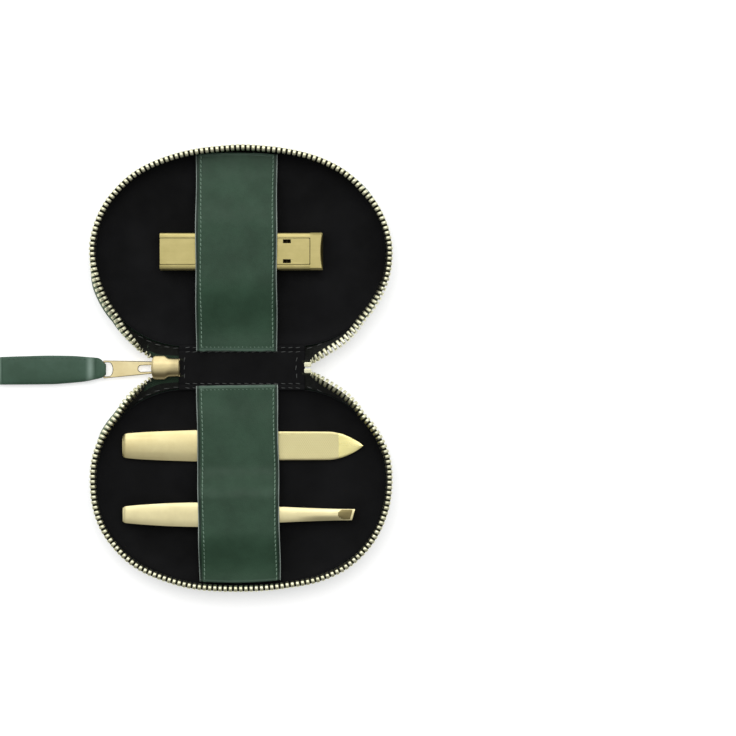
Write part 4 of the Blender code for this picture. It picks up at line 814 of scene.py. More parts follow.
class ZipPath:
    """The whole tape edge of a half: its left end, the stiff rim and its right end."""

    def __init__(self, half):
        left_foot, left_chain = end_path("left")
        right_foot, right_chain = end_path("right")
        around = np.linspace(RIM_START, RIM_LENGTH - RIM_START, 500)[1:-1]
        self.foot = np.vstack([left_foot[::-1], on_rim(around, FOOT_INSET, FOOT_Z), right_foot])
        chain = np.vstack([left_chain[::-1], on_rim(around, CHAIN_INSET, CHAIN_Z), right_chain])
        away = unit((chain[:, :2] - (0.0, 2.0)) / np.square((55.0, 38.0)))
        chain[:, :2] += away * give(half, chain)[:, None]
        self.swell = swell(half, self.foot)
        self.size = 0.56 + 0.44 * smooth((chain[:, 2] - CHANNEL_Z) / 3.5)
        self.marks = along_path(chain)
        self.ahead = unit(np.gradient(chain, self.marks, axis=0))
        rise = chain - self.foot
        rise = unit(rise - self.ahead * np.sum(rise * self.ahead, axis=1)[:, None])
        self.wall_out = unit(np.cross(self.ahead, rise))
        lean = np.radians(self.lean(half, chain))[:, None]
        self.up = rise * np.cos(lean) + self.wall_out * np.sin(lean)
        self.out = self.wall_out * np.cos(lean) - rise * np.sin(lean)
        drop = BEAD_DROP * self.size[:, None]
        self.bead = chain - rise * drop - self.wall_out * 1.5 * np.maximum(np.sin(lean), 0.0)
        if half == "cover":
            self.foot = self.foot + self.wall_out * (0.5 * self.swell[:, None])
            self.bead = self.bead + self.wall_out * (0.55 * self.swell[:, None])
        self.chain = self.bead + self.up * drop
        self.total = len(chain)
        self.rim_from = len(left_foot)
        self.rim_to = self.total - len(right_foot)

    def lean(self, half, chain):
        """How far the teeth tip outwards, in degrees, by place round the rim."""
        y = chain[:, 1]
        upright = np.clip((chain[:, 2] - 6.0) / 3.0, 0.0, 1.0)
        left = -52.0 * self.swell if half == "cover" else 0.0 * y
        right = (42.0 if half == "cover" else 12.0) * smooth((y - 6.0) / 14.0)
        return np.where(chain[:, 0] < 0, left, right) * upright

    def tape_rings(self, start, stop):
        """Sections of the tape: up its outside, over the cord and down its inside."""
        picks = np.unique(np.append(np.arange(start, stop, 4), stop - 1))
        foot, bead, out = self.foot[picks], self.bead[picks], self.wall_out[picks]
        size = np.sqrt(self.size[picks, None])
        soft = self.swell[picks, None]
        tall = np.clip(np.linalg.norm(bead - foot, axis=1)[:, None] / 5.0, 0.0, 1.0)
        outer, inner, marks, wear_and_painted_light = [], [], [], []
        for share, outside, inside in TAPE_ROWS:
            if share < 0:
                place, way = foot - (0.0, 0.0, FOOT_DEPTH), out
            else:
                bow = (0.3 + 1.5 * soft) * math.sin(math.pi * min(share, 1.0) ** 1.2)
                place = foot + (bead - foot) * share + out * bow * tall
                way = self.out[picks] if share > 0.9 else out
            outer.append(place + way * outside * size)
            inner.append(place - way * inside * size)
            marks.append(share * 5.5)
            wear_and_painted_light.append(soft * smooth(share * 3.0))
        rings = np.stack(outer + inner[::-1], axis=1)
        across = np.array(marks + [12.0 - m for m in marks[::-1]])
        strip = np.stack(np.broadcast_arrays(self.marks[picks][:, None], across[None]), -1)
        return rings, strip, np.hstack(wear_and_painted_light + [0.0 * w for w in wear_and_painted_light])


TOOTH_OUTLINE = np.array([
    (-1.0, -1.42), (-1.2, -1.15), (-1.2, -0.1), (-1.14, 0.4), (-1.06, 0.8), (-1.0, 1.1),
    (-0.7, 1.36), (0.0, 1.42), (0.7, 1.36), (1.0, 1.1), (1.06, 0.8), (1.14, 0.4), (1.2, -0.1),
    (1.2, -1.15), (1.0, -1.42)])
TOOTH_RINGS = ((-0.58, 0.82), (-0.52, 0.94), (-0.4, 1.0), (0.4, 1.0), (0.52, 0.94), (0.58, 0.82))


def teeth(path, places):
    """Tooth meshes at distances along the chain."""
    chain = at_marks(path.chain, path.marks, places)[:, None]
    size = np.interp(places, path.marks, path.size)[:, None, None]
    ahead = unit(at_marks(path.ahead, path.marks, places))[:, None]
    up = unit(at_marks(path.up, path.marks, places))[:, None]
    out = unit(np.cross(ahead, up))
    rings = []
    for off, scale in TOOTH_RINGS:
        rings.append(chain + ahead * off * size + out * (TOOTH_OUTLINE[:, :1] * scale) * size
                     + up * (TOOTH_OUTLINE[:, 1:] * (0.5 + scale / 2)) * size)
    return np.stack(rings, axis=1)


def zip_part(obj, half, part, slot, *nodes):
    """The rim's part rides on its half, and an end's has its placement baked into its mesh."""
    if part == "rim":
        stand(obj, half, slot, *nodes)
    else:
        bend(obj, half, *END_BEND, slot, *nodes)


def make_zip(half):
    path = ZipPath(half)
    first, last = path.rim_from, path.rim_to
    columns = np.array([0] * 7 + [2] * 7 + [1] * 7 + [0])
    green_from, green_to = (-36.5, 17) if half == "base" else (-34.0, 16)
    spans = {"rim": (first - 1, last + 1), "left": (0, first), "right": (last, path.total)}
    for part, span in spans.items():
        rings, strip, wear_and_painted_light = path.tape_rings(*span)
        looks = np.tile(columns, (len(rings) - 1, 1))
        # Beside the slider the tape's inner side takes the darker green tape: painted shade.
        gusset = (rings[1:, 0, 0] > green_from) & (rings[1:, 0, 0] < -21.0)
        looks[gusset, 14:green_to] = 3
        shape = Shape(half)
        shape.grid(rings, closed=True, caps=True, finish=looks, strip=strip, wear_and_painted_light=wear_and_painted_light)
        name, node = f"{half}_tape_end_{part}", f"zip_end_{half}_{part}"
        if part == "rim":
            name, node = f"{half}_tape_wall", f"{half}_zip_tape"
        obj = shape.piece(name, [TAPE_GREEN, TAPE_BLACK, CORD, GUSSET_SHADE], sharp=60.0)
        zip_part(obj, half, part, "zip_tape", node)
    start = path.marks[np.argmax(path.bead[:, 0] <= TEETH_FROM)]
    stop = path.marks[path.total - 1 - np.argmax(path.bead[::-1, 0] >= TEETH_TO)]
    many = int(round((stop - start) / TOOTH_PITCH))
    places = start + (np.arange(many) + 0.5) * (stop - start) / many
    low, high = path.marks[first], path.marks[last - 1]
    groups = {"rim": (places >= low) & (places <= high), "left": places < low,
              "right": places > high}
    for part, chosen in groups.items():
        shape = Shape(half)
        shape.tubes(teeth(path, places[chosen]))
        name, nodes = f"{half}_teeth_{part}", ()
        if part == "rim":
            name, nodes = f"{half}_teeth", (f"{half}_zip_chain",)
        zip_part(shape.piece(name, [TEETH], sharp=50.0), half, part, "zip_metal", *nodes)
    make_seam_stitches(half, path)


def make_seam_stitches(half, path):
    """The row that sews the tape's ends to the lining, beside the spine."""
    shape = Shape(half)
    place = path.foot + (path.bead - path.foot) * 0.12 - path.wall_out * 0.3
    for low, high in ((-38.5, -21.9), (23.3, 31.0)):
        keep = (place[:, 0] > low) & (place[:, 0] < high) & (path.foot[:, 1] > 20.0)
        stitch_row(shape, place[keep], -path.wall_out[keep], pitch=3.0, length=2.1, width=0.3)
    bend(shape.piece(f"{half}_seam_stitches", [THREAD_DARK]), half, *END_BEND, "zip_tape")


# Spine

SPINE_SKINS = {
    "lining": {
        "x": (-22.75, 23.5), "thick": 0.5, "finish": BLACK, "slot": "black_lining",
        "bend": (35.0, 37.2),
        "top": ((33.75, 4.9), (33.9, 5.22), (34.1, 5.34), (34.5, 5.36), (35.0, 5.33), (35.5, 5.29),
                (35.75, 5.24), (35.9, 5.14), (36.05, 5.14), (36.25, 5.22), (36.6, 5.26),
                (37.2, 5.25), (38.0, 5.24), (39.5, 5.22), (41.0, 5.2), (42.2, 5.2))},
    "leather": {
        "x": (-21.7, 23.5), "thick": 1.0, "finish": GREEN, "slot": "green_leather",
        "bend": (34.9, 37.6),
        "top": ((34.5, 3.95), (35.0, 4.42), (35.4, 4.66), (35.8, 4.62), (36.2, 4.46), (36.6, 4.34),
                (37.2, 4.3), (38.5, 4.3), (40.0, 4.3), (42.2, 4.3))},
}


def spine_ring(kind, y, top):
    """The section of a skin of the spine, lengthwise, at one place across it."""
    facts = SPINE_SKINS[kind]
    x = np.linspace(*facts["x"], 46)
    turned_in = kind == "leather" and y < 35.3
    low = top - facts["thick"] * (0.45 if turned_in else 1.0)
    wave = 0.0 * x
    if kind == "lining" and y > 36.3:
        wave = 0.05 * ripple(3 * x, np.full_like(x, 3 * y))
    upper, lower = spread_out(x, y, top + wave), spread_out(x, y, low)
    middle = (top + low) / 2
    return np.vstack([upper, (x[-1] + 0.15, y, middle), lower[::-1], (x[0] - 0.15, y, middle)])


def level_row(shape, x, y, z, **stitch):
    """A row of stitches on a level surface."""
    path = spread_out(x, y, z)
    stitch_row(shape, path, np.tile((0.0, 0.0, 1.0), (len(path), 1)), **stitch)


def make_spine_skins():
    """Lining and outer leather of the spine, each in two parts, one for each half."""
    for half in ("base", "cover"):
        for kind, facts in SPINE_SKINS.items():
            rings = [spine_ring(kind, y, top) for y, top in facts["top"]]
            shape = Shape(half)
            shape.grid(rings, closed=True, caps=True)
            obj = shape.piece(f"spine_{kind}_{half}_side", [facts["finish"]], sharp=50.0)
            nodes = [f"spine_{kind}"] if half == "base" else []
            bend(obj, half, *facts["bend"], facts["slot"], *nodes)
        sewn = Shape(half)
        for y, z in ((34.75, 5.33), (36.35, 5.24)):
            level_row(sewn, np.linspace(-21.0, 22.4, 46), y, z, pitch=2.6, length=1.8, width=0.28,
                      lift=0.1)
        bend(sewn.piece(f"spine_{half}_stitches", [THREAD_DARK]), half, 35.0, 37.2, "black_lining")
    ends = Shape()
    y = np.linspace(37.6, 46.8, 30)
    for x, bow in ((-20.7, -0.15), (20.9, -0.55)):
        level_row(ends, x + bow * (1 - ((y - SPINE_Y) / 4.6) ** 2), y, 5.24, pitch=2.4, length=1.8,
                  width=0.3, lift=0.1)
    stand(ends.piece("spine_end_stitches", [THREAD_DARK]), "spine", "black_lining")


# Straps

STRAP_HALF = 15.0
STRAP_THICK = 1.0
STRAP_COLUMNS = ((0.0, -0.5), (0.03, -0.28), (0.13, -0.13), (0.32, -0.06), (0.58, -0.05),
                 (0.68, -0.12), (0.85, -0.05), (1.2, -0.02), (1.45, -0.07), (1.75, -0.14),
                 (2.05, -0.07), (2.3, 0.0), (2.8, 0.03), (4.0, 0.05), (6.0, 0.06), (8.5, 0.07),
                 (11.0, 0.08), (13.2, 0.08), (15.0, 0.08))
CUT_COLUMNS = 3
# Columns of painted groove shade inside the cut edge.
GROOVE_SHADE_COLUMNS = 4
# The middle's x at both ends, the way along Y, and the level stretches: from, to and height
STRAPS = {
    "base": ((-1.4, -0.2), -1.0,
             ((35.7, 34.0, 5.5), (19.85, 6.95, 6.0), (-6.8, -17.0, 9.8), (-35.5, -37.1, 5.5))),
    "cover": ((-1.5, -1.5), 1.0, ((48.3, 50.4, 5.5), (77.3, 92.7, 10.4), (119.9, 121.5, 5.5))),
}
STRAP_PARTS = {"base": {"band": (0.0, 1.0)},
               "cover": {"band_back": (0.0, 0.5), "band_front": (0.5, 1.0)}}


def smoother(share):
    share = np.clip(share, 0.0, 1.0)
    return share ** 3 * (6 * share ** 2 - 15 * share + 10)


def strap_facts(half):
    ends, way, flats = STRAPS[half]
    return ends, way, flats[0][0], flats[-1][1]


def strap_height(half, y):
    """Height of the band's underside: level over each tool, eased in between."""
    _, way, flats = STRAPS[half]
    place = y * way
    z = np.full_like(place, flats[-1][2])
    for (_, last, low), (first, _, high) in reversed(list(zip(flats, flats[1:]))):
        eased = low + (high - low) * smoother((place - last * way) / (first * way - last * way))
        z = np.where(place < first * way, eased, z)
    return z


def strap_middle(half, y):
    """The strap's centre line, which isn't quite square to the spine on the base half."""
    (at_back, at_front), _, back, front = strap_facts(half)
    return at_back + (at_front - at_back) * (y - back) / (front - back)


def strap_rings(half, shares):
    ends, way, back, front = strap_facts(half)
    insets, drops = np.array(STRAP_COLUMNS).T
    across = np.concatenate([insets - STRAP_HALF, (STRAP_HALF - insets)[-2::-1]])
    rise = np.concatenate([drops, drops[-2::-1]])
    slant = (ends[1] - ends[0]) / abs(front - back)
    edge = np.abs(across) > STRAP_HALF - 1.3
    rings = []
    for share in shares:
        y = back + (front - back) * share
        end_curve = -way * 0.75 * (across / STRAP_HALF) ** 2 * smooth((share - 0.9) / 0.1)
        frayed = 0.1 * np.sin(across * 1.9) * np.sin(across * 0.7 + 1.0)
        frayed = frayed * smooth((0.02 - share) / 0.02)
        ys = y + end_curve + frayed + slant * across
        z = strap_height(half, ys)
        end = min(share, 1 - share) * abs(front - back)
        sewn_down = 0.1 * math.exp(-((end - 1.5) / 0.3) ** 2) * (share < 0.5)
        soft = -0.35 * (1 - smooth(end / 0.5)) - sewn_down
        sag = 0.06 * ripple(across * 2.0, 1.4 * ys) * min(1.0, end / 4.0)
        x = strap_middle(half, y) + across + edge * np.sign(across) * 0.1 * math.sin(0.21 * y + 1.0)
        top = np.column_stack([x, ys, z + STRAP_THICK + rise + soft + sag])
        low = np.column_stack([x, ys, np.minimum(z, top[:, 2] - 0.3)])
        low[[0, -1], 2] += 0.18
        rings.append(np.vstack([top, low[::-1]]))
    return np.array(rings)


def strap_finish(count):
    """Cut edge, margin of painted groove shade, and grain, by column of a strap with so many
    across.
    """
    finish = np.zeros(2 * count, int)
    groove_shade = CUT_COLUMNS + GROOVE_SHADE_COLUMNS
    finish[:groove_shade] = 2
    finish[:CUT_COLUMNS] = 1
    finish[count - 1 - groove_shade:count] = 2
    finish[count - 1 - CUT_COLUMNS:count] = 1
    finish[-1] = 1
    return finish


def make_strap(half):
    ends, way, back, front = strap_facts(half)
    gap = abs(front - back)
    for name, (low, high) in STRAP_PARTS[half].items():
        shares = np.linspace(low, high, 121 if half == "base" else 61)
        rings = strap_rings(half, shares)
        wear_and_painted_light = np.zeros(rings.shape[:2])
        wear_and_painted_light[shares * (1 - shares) < 0.01] = 0.3
        shape = Shape()
        finish = strap_finish(rings.shape[1] // 2)
        shape.grid(rings, closed=True, caps=True, finish=finish, wear_and_painted_light=wear_and_painted_light)
        shape.finishes[-2:] = [1, 1]
        band = shape.piece(f"{half}_strap_{name}", [GREEN, CUT_EDGE, GREEN_GROOVE_SHADE], sharp=60.0)
        place_strap(band, half, name, f"{half}_strap")
        sewn = Shape()
        y = back + (front - back) * np.linspace(max(low, 1.1 / gap), min(high, 1 - 0.9 / gap), 200)
        z = strap_height(half, y) + 0.84
        up = spread_out(0.0, -np.gradient(z, y), 1.0)
        for side, inset in ((-1.0, 1.95), (1.0, 1.65)):
            wander = 0.12 * np.sin(0.16 * y + side)
            x = strap_middle(half, y) + side * (STRAP_HALF - inset) + wander
            stitch_row(sewn, np.column_stack([x, y, z]), up, pitch=1.6, length=1.55, width=0.44,
                       lift=0.22, slant=7.0 * side)
        if low == 0.0:
            across = np.linspace(1.75 - STRAP_HALF, STRAP_HALF - 1.75, 60)
            slanted = back + way * 1.5 + (ends[1] - ends[0]) / gap * across
            level_row(sewn, ends[0] + across, slanted, STRAPS[half][2][0][2] + 0.86, pitch=1.4,
                      length=1.1, width=0.34, lift=0.14, slant=9.0)
        place_strap(sewn.piece(f"{half}_strap_stitches_{name}", [THREAD]), half, name)


def place_strap(obj, half, name, *nodes):
    """The base's strap stays put. The cover's, in two parts that bulge from their sewn ends to
    the middle, has its placement baked into its mesh."""
    if half == "base":
        stand(obj, half, "green_leather", *nodes)
        return
    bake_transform(obj)
    stands_for(nodes)


# Slider, stops, puller and tab

SLIDER_X = (-33.0, -32.95, -32.7, -32.35, -31.9, -31.3, -28.2, -27.6, -27.0, -26.5, -24.0, -22.8,
            -22.55, -22.45)
SLIDER_HALF = (0.3, 1.4, 2.8, 3.7, 4.2, 4.38, 4.38, 4.1, 3.6, 3.4, 3.3, 3.25, 3.0, 2.6)
SLIDER_ROOF_Z = 6.4
SLIDER_FLOOR_Z = (2.7, 3.6)
CROWN_PATH = ((-32.2, 2.75), (-32.2, 1.1), (-31.9, 0.8), (-31.2, 0.68), (-29.2, 0.68),
              (-27.2, 0.68), (-26.5, 0.8), (-26.2, 1.1), (-26.2, 2.75))
CROWN_SECTION = ((-1.05, -0.2), (-0.85, -0.38), (0.85, -0.38), (1.05, -0.2), (1.05, 0.2),
                 (0.85, 0.38), (-0.85, 0.38), (-1.05, 0.2))
PULLER_Z = (1.35, 2.15)
PULLER_EDGE = 0.24


def make_slider():
    x = np.concatenate([np.linspace(-33.0, -32.3, 12), np.linspace(-32.1, -23.0, 38),
                        np.linspace(-22.9, -22.45, 8)])
    half = through(SLIDER_X, SLIDER_HALF, x)
    u = np.array([-1.0, -0.985, -0.95, -0.9, -0.85, -0.78, -0.65, -0.5, -0.25, 0.0, 0.25, 0.5, 0.7,
                  0.85, 0.93, 0.98, 1.0])
    end = 0.4 * (1 - smooth((x + 33.0) / 0.8)) + 0.4 * smooth((x + 22.95) / 0.5)
    crown_z = 7.7 - 0.22 * ((x + 28.6) / 5.0) ** 2 - end + 0.12 * np.exp(-((x + 22.85) / 0.18) ** 2)
    lip = 0.16 * np.exp(-((u + 0.9) / 0.06) ** 2)
    drop = 0.62 * np.abs(u) ** 2.2 + 0.22 * smooth((np.abs(u) - 0.93) / 0.07) - lip
    under = np.array([1.0, 0.5, -0.5, -1.0])
    z = np.hstack([crown_z[:, None] - drop, np.full((len(x), len(under)), SLIDER_ROOF_Z)])
    rings = spread_out(x[:, None], SPINE_Y + np.append(u, under) * half[:, None], z)
    # Painted shade: the lower side and the tail are marked so that they turn dark brown.
    low_side = np.append(smooth((-0.1 - u) / 0.55) * (u > -0.88), np.zeros(len(under)))
    tail = smooth((x + 27.2) / 3.0)[:, None]
    roof = Shape()
    roof.grid(rings, closed=True, caps=True, wear_and_painted_light=low_side * (1 - 0.5 * tail) + 0.4 * tail)
    stand(roof.piece("slider_top_plate", [SLIDER_GOLD], sharp=60.0), "slider", "zip_metal",
          "slider_body")

    x = np.linspace(SLIDER_X[0], SLIDER_X[-1], 60)
    half = through(SLIDER_X, SLIDER_HALF, x)
    plan = [*zip(x, SPINE_Y + half), *zip(x[::-1], SPINE_Y - half[::-1])]
    floor = Shape()
    floor.plate(plan, [], *SLIDER_FLOOR_Z)
    diamond = [(-32.9, SPINE_Y), (-31.3, SPINE_Y - 1.2), (-29.7, SPINE_Y), (-31.3, SPINE_Y + 1.2)]
    floor.plate(corner_round(diamond, 0.4), [], 3.5, 6.5)
    for sign in (-1.0, 1.0):
        flange = oblong(-26.5, -22.5, *sorted((SPINE_Y + sign * 2.6, SPINE_Y + sign * 3.25)))
        floor.plate(flange, [], 3.5, 4.4)
        floor.plate(flange, [], 5.6, 6.5)
    stand(floor.piece("slider_under_plate", [SLIDER_GOLD], sharp=30.0, bevel=0.15), "slider",
          "zip_metal")

    path = spline(CROWN_PATH, 49)
    ahead = unit(np.gradient(path, axis=0))
    side = np.column_stack([ahead[:, 1], -ahead[:, 0]])
    rings = [[(p[0] + s[0] * h, SPINE_Y + w, p[1] + s[1] * h) for w, h in CROWN_SECTION]
             for p, s in zip(path, side)]
    crown = Shape()
    crown.grid(rings, closed=True, caps=True)
    stand(crown.piece("slider_crown_loop", [SLIDER_GOLD], sharp=30.0), "slider", "zip_metal",
          "slider_crown")


def make_stops():
    for half, middle in (("base", SPINE_Y - 1.15), ("cover", SPINE_Y + 1.15)):
        shape = Shape()
        outline = oblong(23.4, 26.0, middle - 0.85, middle + 0.85)
        shape.plate(corner_round(outline, 0.5), [], 3.8, 6.2)
        clamp = shape.piece(f"top_stop_clamp_{half}", [TEETH], sharp=30.0, bevel=0.4, segments=4)
        stand(clamp, "spine", "zip_metal", f"zip_top_stop_{half}")
    shape = Shape()
    shape.plate(corner_round(oblong(-26.5, -23.0, 40.7, 43.7), 0.5), [], 4.1, 5.9)
    clamp = shape.piece("bottom_stop_clamp", [TEETH], sharp=30.0, bevel=0.3, segments=3)
    stand(clamp, "spine", "zip_metal", "zip_bottom_stop")


def make_puller():
    outline = corner_round([(-51.0, 38.2), (-29.8, 40.3), (-29.8, 44.5), (-51.0, 44.9)], 0.5)
    eye = [(-50.4, 44.15), (-50.4, 38.95), *arc(-49.0, 41.6, 1.5, 2.55, -90.0, 90.0, 15)]
    slot = [(-30.6, 40.95), (-30.6, 43.25), *arc(-36.9, 41.85, 1.2, 1.2, 90.0, 270.0, 13)]
    shape = Shape()
    # Its chamfered edges take the second finish, painted shade.
    shape.plate(outline, [eye, slot], *PULLER_Z, PULLER_EDGE)
    stand(shape.piece("puller_plate", [PULLER_GOLD, GOLD_SHADE], sharp=30.0), "puller", "zip_metal",
          "puller")


# Each pair: places along the tab, and its far side, near side, top and underside there
TAB_FAR = ((-90.2, -81.3, -70.3, -62.9, -56.9, -54.4, -52.9, -51.6, -50.75, -50.4, -50.0),
           (46.15, 46.45, 46.7, 46.6, 46.2, 46.0, 45.8, 45.1, 44.1, 43.9, 43.5))
TAB_NEAR = ((-90.2, -70.3, -63.6, -58.4, -55.8, -53.8, -52.1, -51.2, -50.75, -50.4, -50.0),
            (35.9, 36.05, 36.5, 37.0, 37.45, 37.9, 38.3, 38.6, 39.0, 39.25, 39.6))
TAB_TOP = ((-90.2, -89.7, -89.1, -88.6, -88.0, -87.4, -75.0, -62.0, -58.2, -56.8, -55.5, -54.2,
            -53.4, -52.2, -51.0, -50.4, -50.0),
           (2.3, 2.9, 3.15, 3.05, 2.72, 2.76, 2.95, 2.9, 2.95, 3.35, 3.6, 3.4, 2.75, 2.6, 2.85, 2.8,
            2.4))
TAB_LOW = ((-90.2, -89.7, -88.5, -75.0, -62.0, -54.0, -51.5, -50.5, -50.0),
           (1.0, 0.7, 0.55, 0.5, 0.5, 0.5, 0.6, 0.65, 1.1))
TAB_SIDES = 28
TAB_SQUARENESS = 0.42
TAB_STITCH_INSET = 0.95


def make_tab():
    """A folded leather band, its end narrowed to go round the puller's eye."""
    x = np.concatenate([np.linspace(-90.0, -87.2, 20), np.linspace(-86.6, -60.0, 30),
                        np.linspace(-59.5, -50.0, 44)])
    end = 0.6 * (1 - smooth((x + 90.1) / 0.8)) ** 2
    far, near = through(*TAB_FAR, x) - end, through(*TAB_NEAR, x) + end
    half, middle = (far - near) / 2, (far + near) / 2
    top, low = through(*TAB_TOP, x), through(*TAB_LOW, x)
    turns = np.arange(TAB_SIDES) * math.tau / TAB_SIDES
    across = np.sign(np.cos(turns)) * np.abs(np.cos(turns)) ** TAB_SQUARENESS
    upward = np.sign(np.sin(turns)) * np.abs(np.sin(turns)) ** 0.62
    z = ((top + low) / 2)[:, None] + upward * ((top - low) / 2)[:, None]
    rings = spread_out(x[:, None], middle[:, None] + across * half[:, None], z)
    # Painted highlight on the ridge by the eye and on the fold at the far end, through the wear
    # mark; the sides are marked a little lighter too.
    ridge_highlight = 0.9 * np.exp(-((x + 55.7) / 1.2) ** 2) + 0.6 * np.exp(-((x + 89.0) / 0.4) ** 2)
    sides = np.where(np.abs(np.sin(turns)) < 0.3, 0.12, 0.0)
    wear_and_painted_light = sides + ridge_highlight[:, None] * (1 - 0.5 * across ** 2)
    shape = Shape()
    shape.grid(rings, closed=True, caps=True, wear_and_painted_light=wear_and_painted_light)
    hole = Shape()
    hole.plate(oblong(-51.25, -50.2, 36.0, 48.0), [], 1.12, 2.38)
    # The tab takes the lighter copy of the green leather, painted light.
    tab = shape.piece("tab_band", [GREEN_TAB_LIT], sharp=60.0)
    cut_out(tab, hole)
    stand(tab, "pull_tab", "green_leather", "pull_tab")
    sewn = Shape()
    inner = (x > -87.2) & (x < -57.0)
    off_middle = 1 - TAB_STITCH_INSET / half
    rise = (1 - off_middle ** (2 / TAB_SQUARENESS)) ** 0.31 * (top - low) / 2
    for side in (-1.0, 1.0):
        for way in (-1.0, 1.0):
            path = np.column_stack([x, middle + side * (half - TAB_STITCH_INSET),
                                    (top + low) / 2 + way * rise])[inner]
            up = np.tile((0.0, side * 0.25, way), (len(path), 1))
            stitch_row(sewn, path, up, pitch=1.6, length=1.15, width=0.24, lift=0.07)
    stand(sewn.piece("tab_stitches", [THREAD_DEEP]), "pull_tab", "green_leather")


# Badge

def make_badge():
    shape = Shape()
    rim, opening = square(*BADGE_PLACE, 4.25), square(*BADGE_PLACE, 3.45)
    shape.plate(corner_round(rim, 0.5), [corner_round(opening, 0.25)], 0.05, 0.6)
    stand(shape.piece("badge_rim", [TEETH], sharp=30.0, bevel=0.14, segments=3), "cover",
          "zip_metal", "badge_frame")
    x, y = BADGE_PLACE
    count = 25
    across = np.linspace(-3.42, 3.42, count)
    along = across[:, None]
    field = Shape()
    for z in (0.22 + 0.12 * np.exp(-(along ** 2 + across ** 2) / 4.0), 0.58):
        field.grid(spread_out(x + across, y + along, z))
    ids = np.arange(count * count).reshape(count, count)
    edge = np.concatenate([ids[0], ids[1:, -1], ids[-1, -2::-1], ids[-2:0:-1, 0]])
    after = np.roll(edge, -1)
    walls = np.stack([edge, after, after + ids.size, edge + ids.size], 1).tolist()
    field.faces += walls
    field.finishes += [0] * len(walls)
    stand(field.piece("badge_plate", [ENAMEL]), "cover", "badge_enamel", "badge_field")


# Tools

ACROSS = np.array([-1.0, -0.985, -0.94, -0.86, -0.72, -0.5, -0.25, 0.0, 0.25, 0.5, 0.72, 0.86, 0.94,
                   0.985, 1.0])
BACK = np.array([1.0, 0.94, 0.3, -0.3, -0.94, -1.0])
FILE_Y, FILE_LOW = 13.4, 3.7
FILE_START, FILE_LENGTH, FILE_HALF = -43.7, 88.8, 5.75
GROOVED_FROM, GROOVED_TO = 2.0, 35.9
FILE_SHARES = (0.0, 0.003, 0.009, 0.022, 0.1, 0.22, 0.33, 0.45, 0.6, 0.86, 0.9, 0.94, 0.975, 0.992,
               1.0)
FILE_HALVES = (0.6, 0.69, 0.75, 0.79, 0.885, 0.96, 1.0, 0.98, 0.92, 0.9, 0.8, 0.59, 0.31, 0.12,
               0.02)
TWEEZERS_Y, TWEEZERS_Z = -11.9, 6.5
TWEEZERS_START, TWEEZERS_LENGTH, TWEEZERS_HALF = -43.4, 85.5, 4.4
TWEEZER_SHARES = (0.0, 0.005, 0.013, 0.03, 0.1, 0.22, 0.33, 0.45, 0.56, 0.68, 0.8, 0.9, 0.96, 1.0)
TWEEZER_HALVES = (0.54, 0.63, 0.69, 0.73, 0.84, 0.96, 1.0, 0.93, 0.8, 0.64, 0.54, 0.48, 0.46, 0.45)
GROUND_FROM = 0.933 + 0.02 * np.array([1.0, 0.5, 0.1, 0.0, 0.0, 0.0, 0.1, 0.3, 0.7])


def shares_along(*stretches):
    return np.unique(np.concatenate([np.linspace(*stretch) for stretch in stretches]))


def bar_rings(x, y, half, front, back, slant=0.0):
    """Sections of a tool: its front face at given heights, and a flat back."""
    wide = np.append(ACROSS, BACK)
    z = np.hstack([front, np.broadcast_to(back, (len(front), len(BACK)))])
    return spread_out(x + slant * wide / 2, y + half[:, None] * wide, z)


def make_file():
    share = shares_along((0.0, 0.03, 10), (0.03, 0.86, 80), (0.86, 1.0, 34))
    x = FILE_START + FILE_LENGTH * share
    along = share[:, None]
    blade = smooth((along - 0.4) / 0.15)
    end_soft = 0.45 * (1 - smooth(along / 0.02)) ** 2
    tip = smooth((along - 0.88) / 0.12)
    dome = 0.5 * np.abs(ACROSS) ** 2.4
    flat = 0.12 * smooth((np.abs(ACROSS) - 0.93) / 0.07) + tip * 0.1 * ACROSS ** 2
    drop = dome * (1 - blade) + flat * blade
    front = FILE_LOW + 2.0 - 0.7 * blade - drop - end_soft - 0.3 * tip
    half = FILE_HALF * through(FILE_SHARES, FILE_HALVES, share)
    back = FILE_LOW + 0.1 * (np.abs(BACK) > 0.95)
    rings = bar_rings(x[:, None], FILE_Y, half, front, back)
    middle = (x[:-1] + x[1:]) / 2
    looks = np.zeros((len(middle), rings.shape[1]), int)
    looks[(middle > GROOVED_FROM) & (middle < GROOVED_TO), 2:12] = 1
    looks[middle >= GROOVED_TO, :14] = 2
    shape = Shape()
    shape.grid(rings, closed=True, caps=True, finish=looks)
    stand(shape.piece("file_blank", [GOLD, FILE_CUT, GOLD_BRIGHT], sharp=35.0), "nail_file",
          "gold_steel", "nail_file")


def arm_bow(share):
    """How far an arm bows out, rising to its grip and falling to its tip."""
    tip = 0.8 / 1.8
    falling = 1 + (tip - 1) * smooth((share - 0.45) / 0.55)
    return np.where(share < 0.45, smooth(share / 0.45), falling)


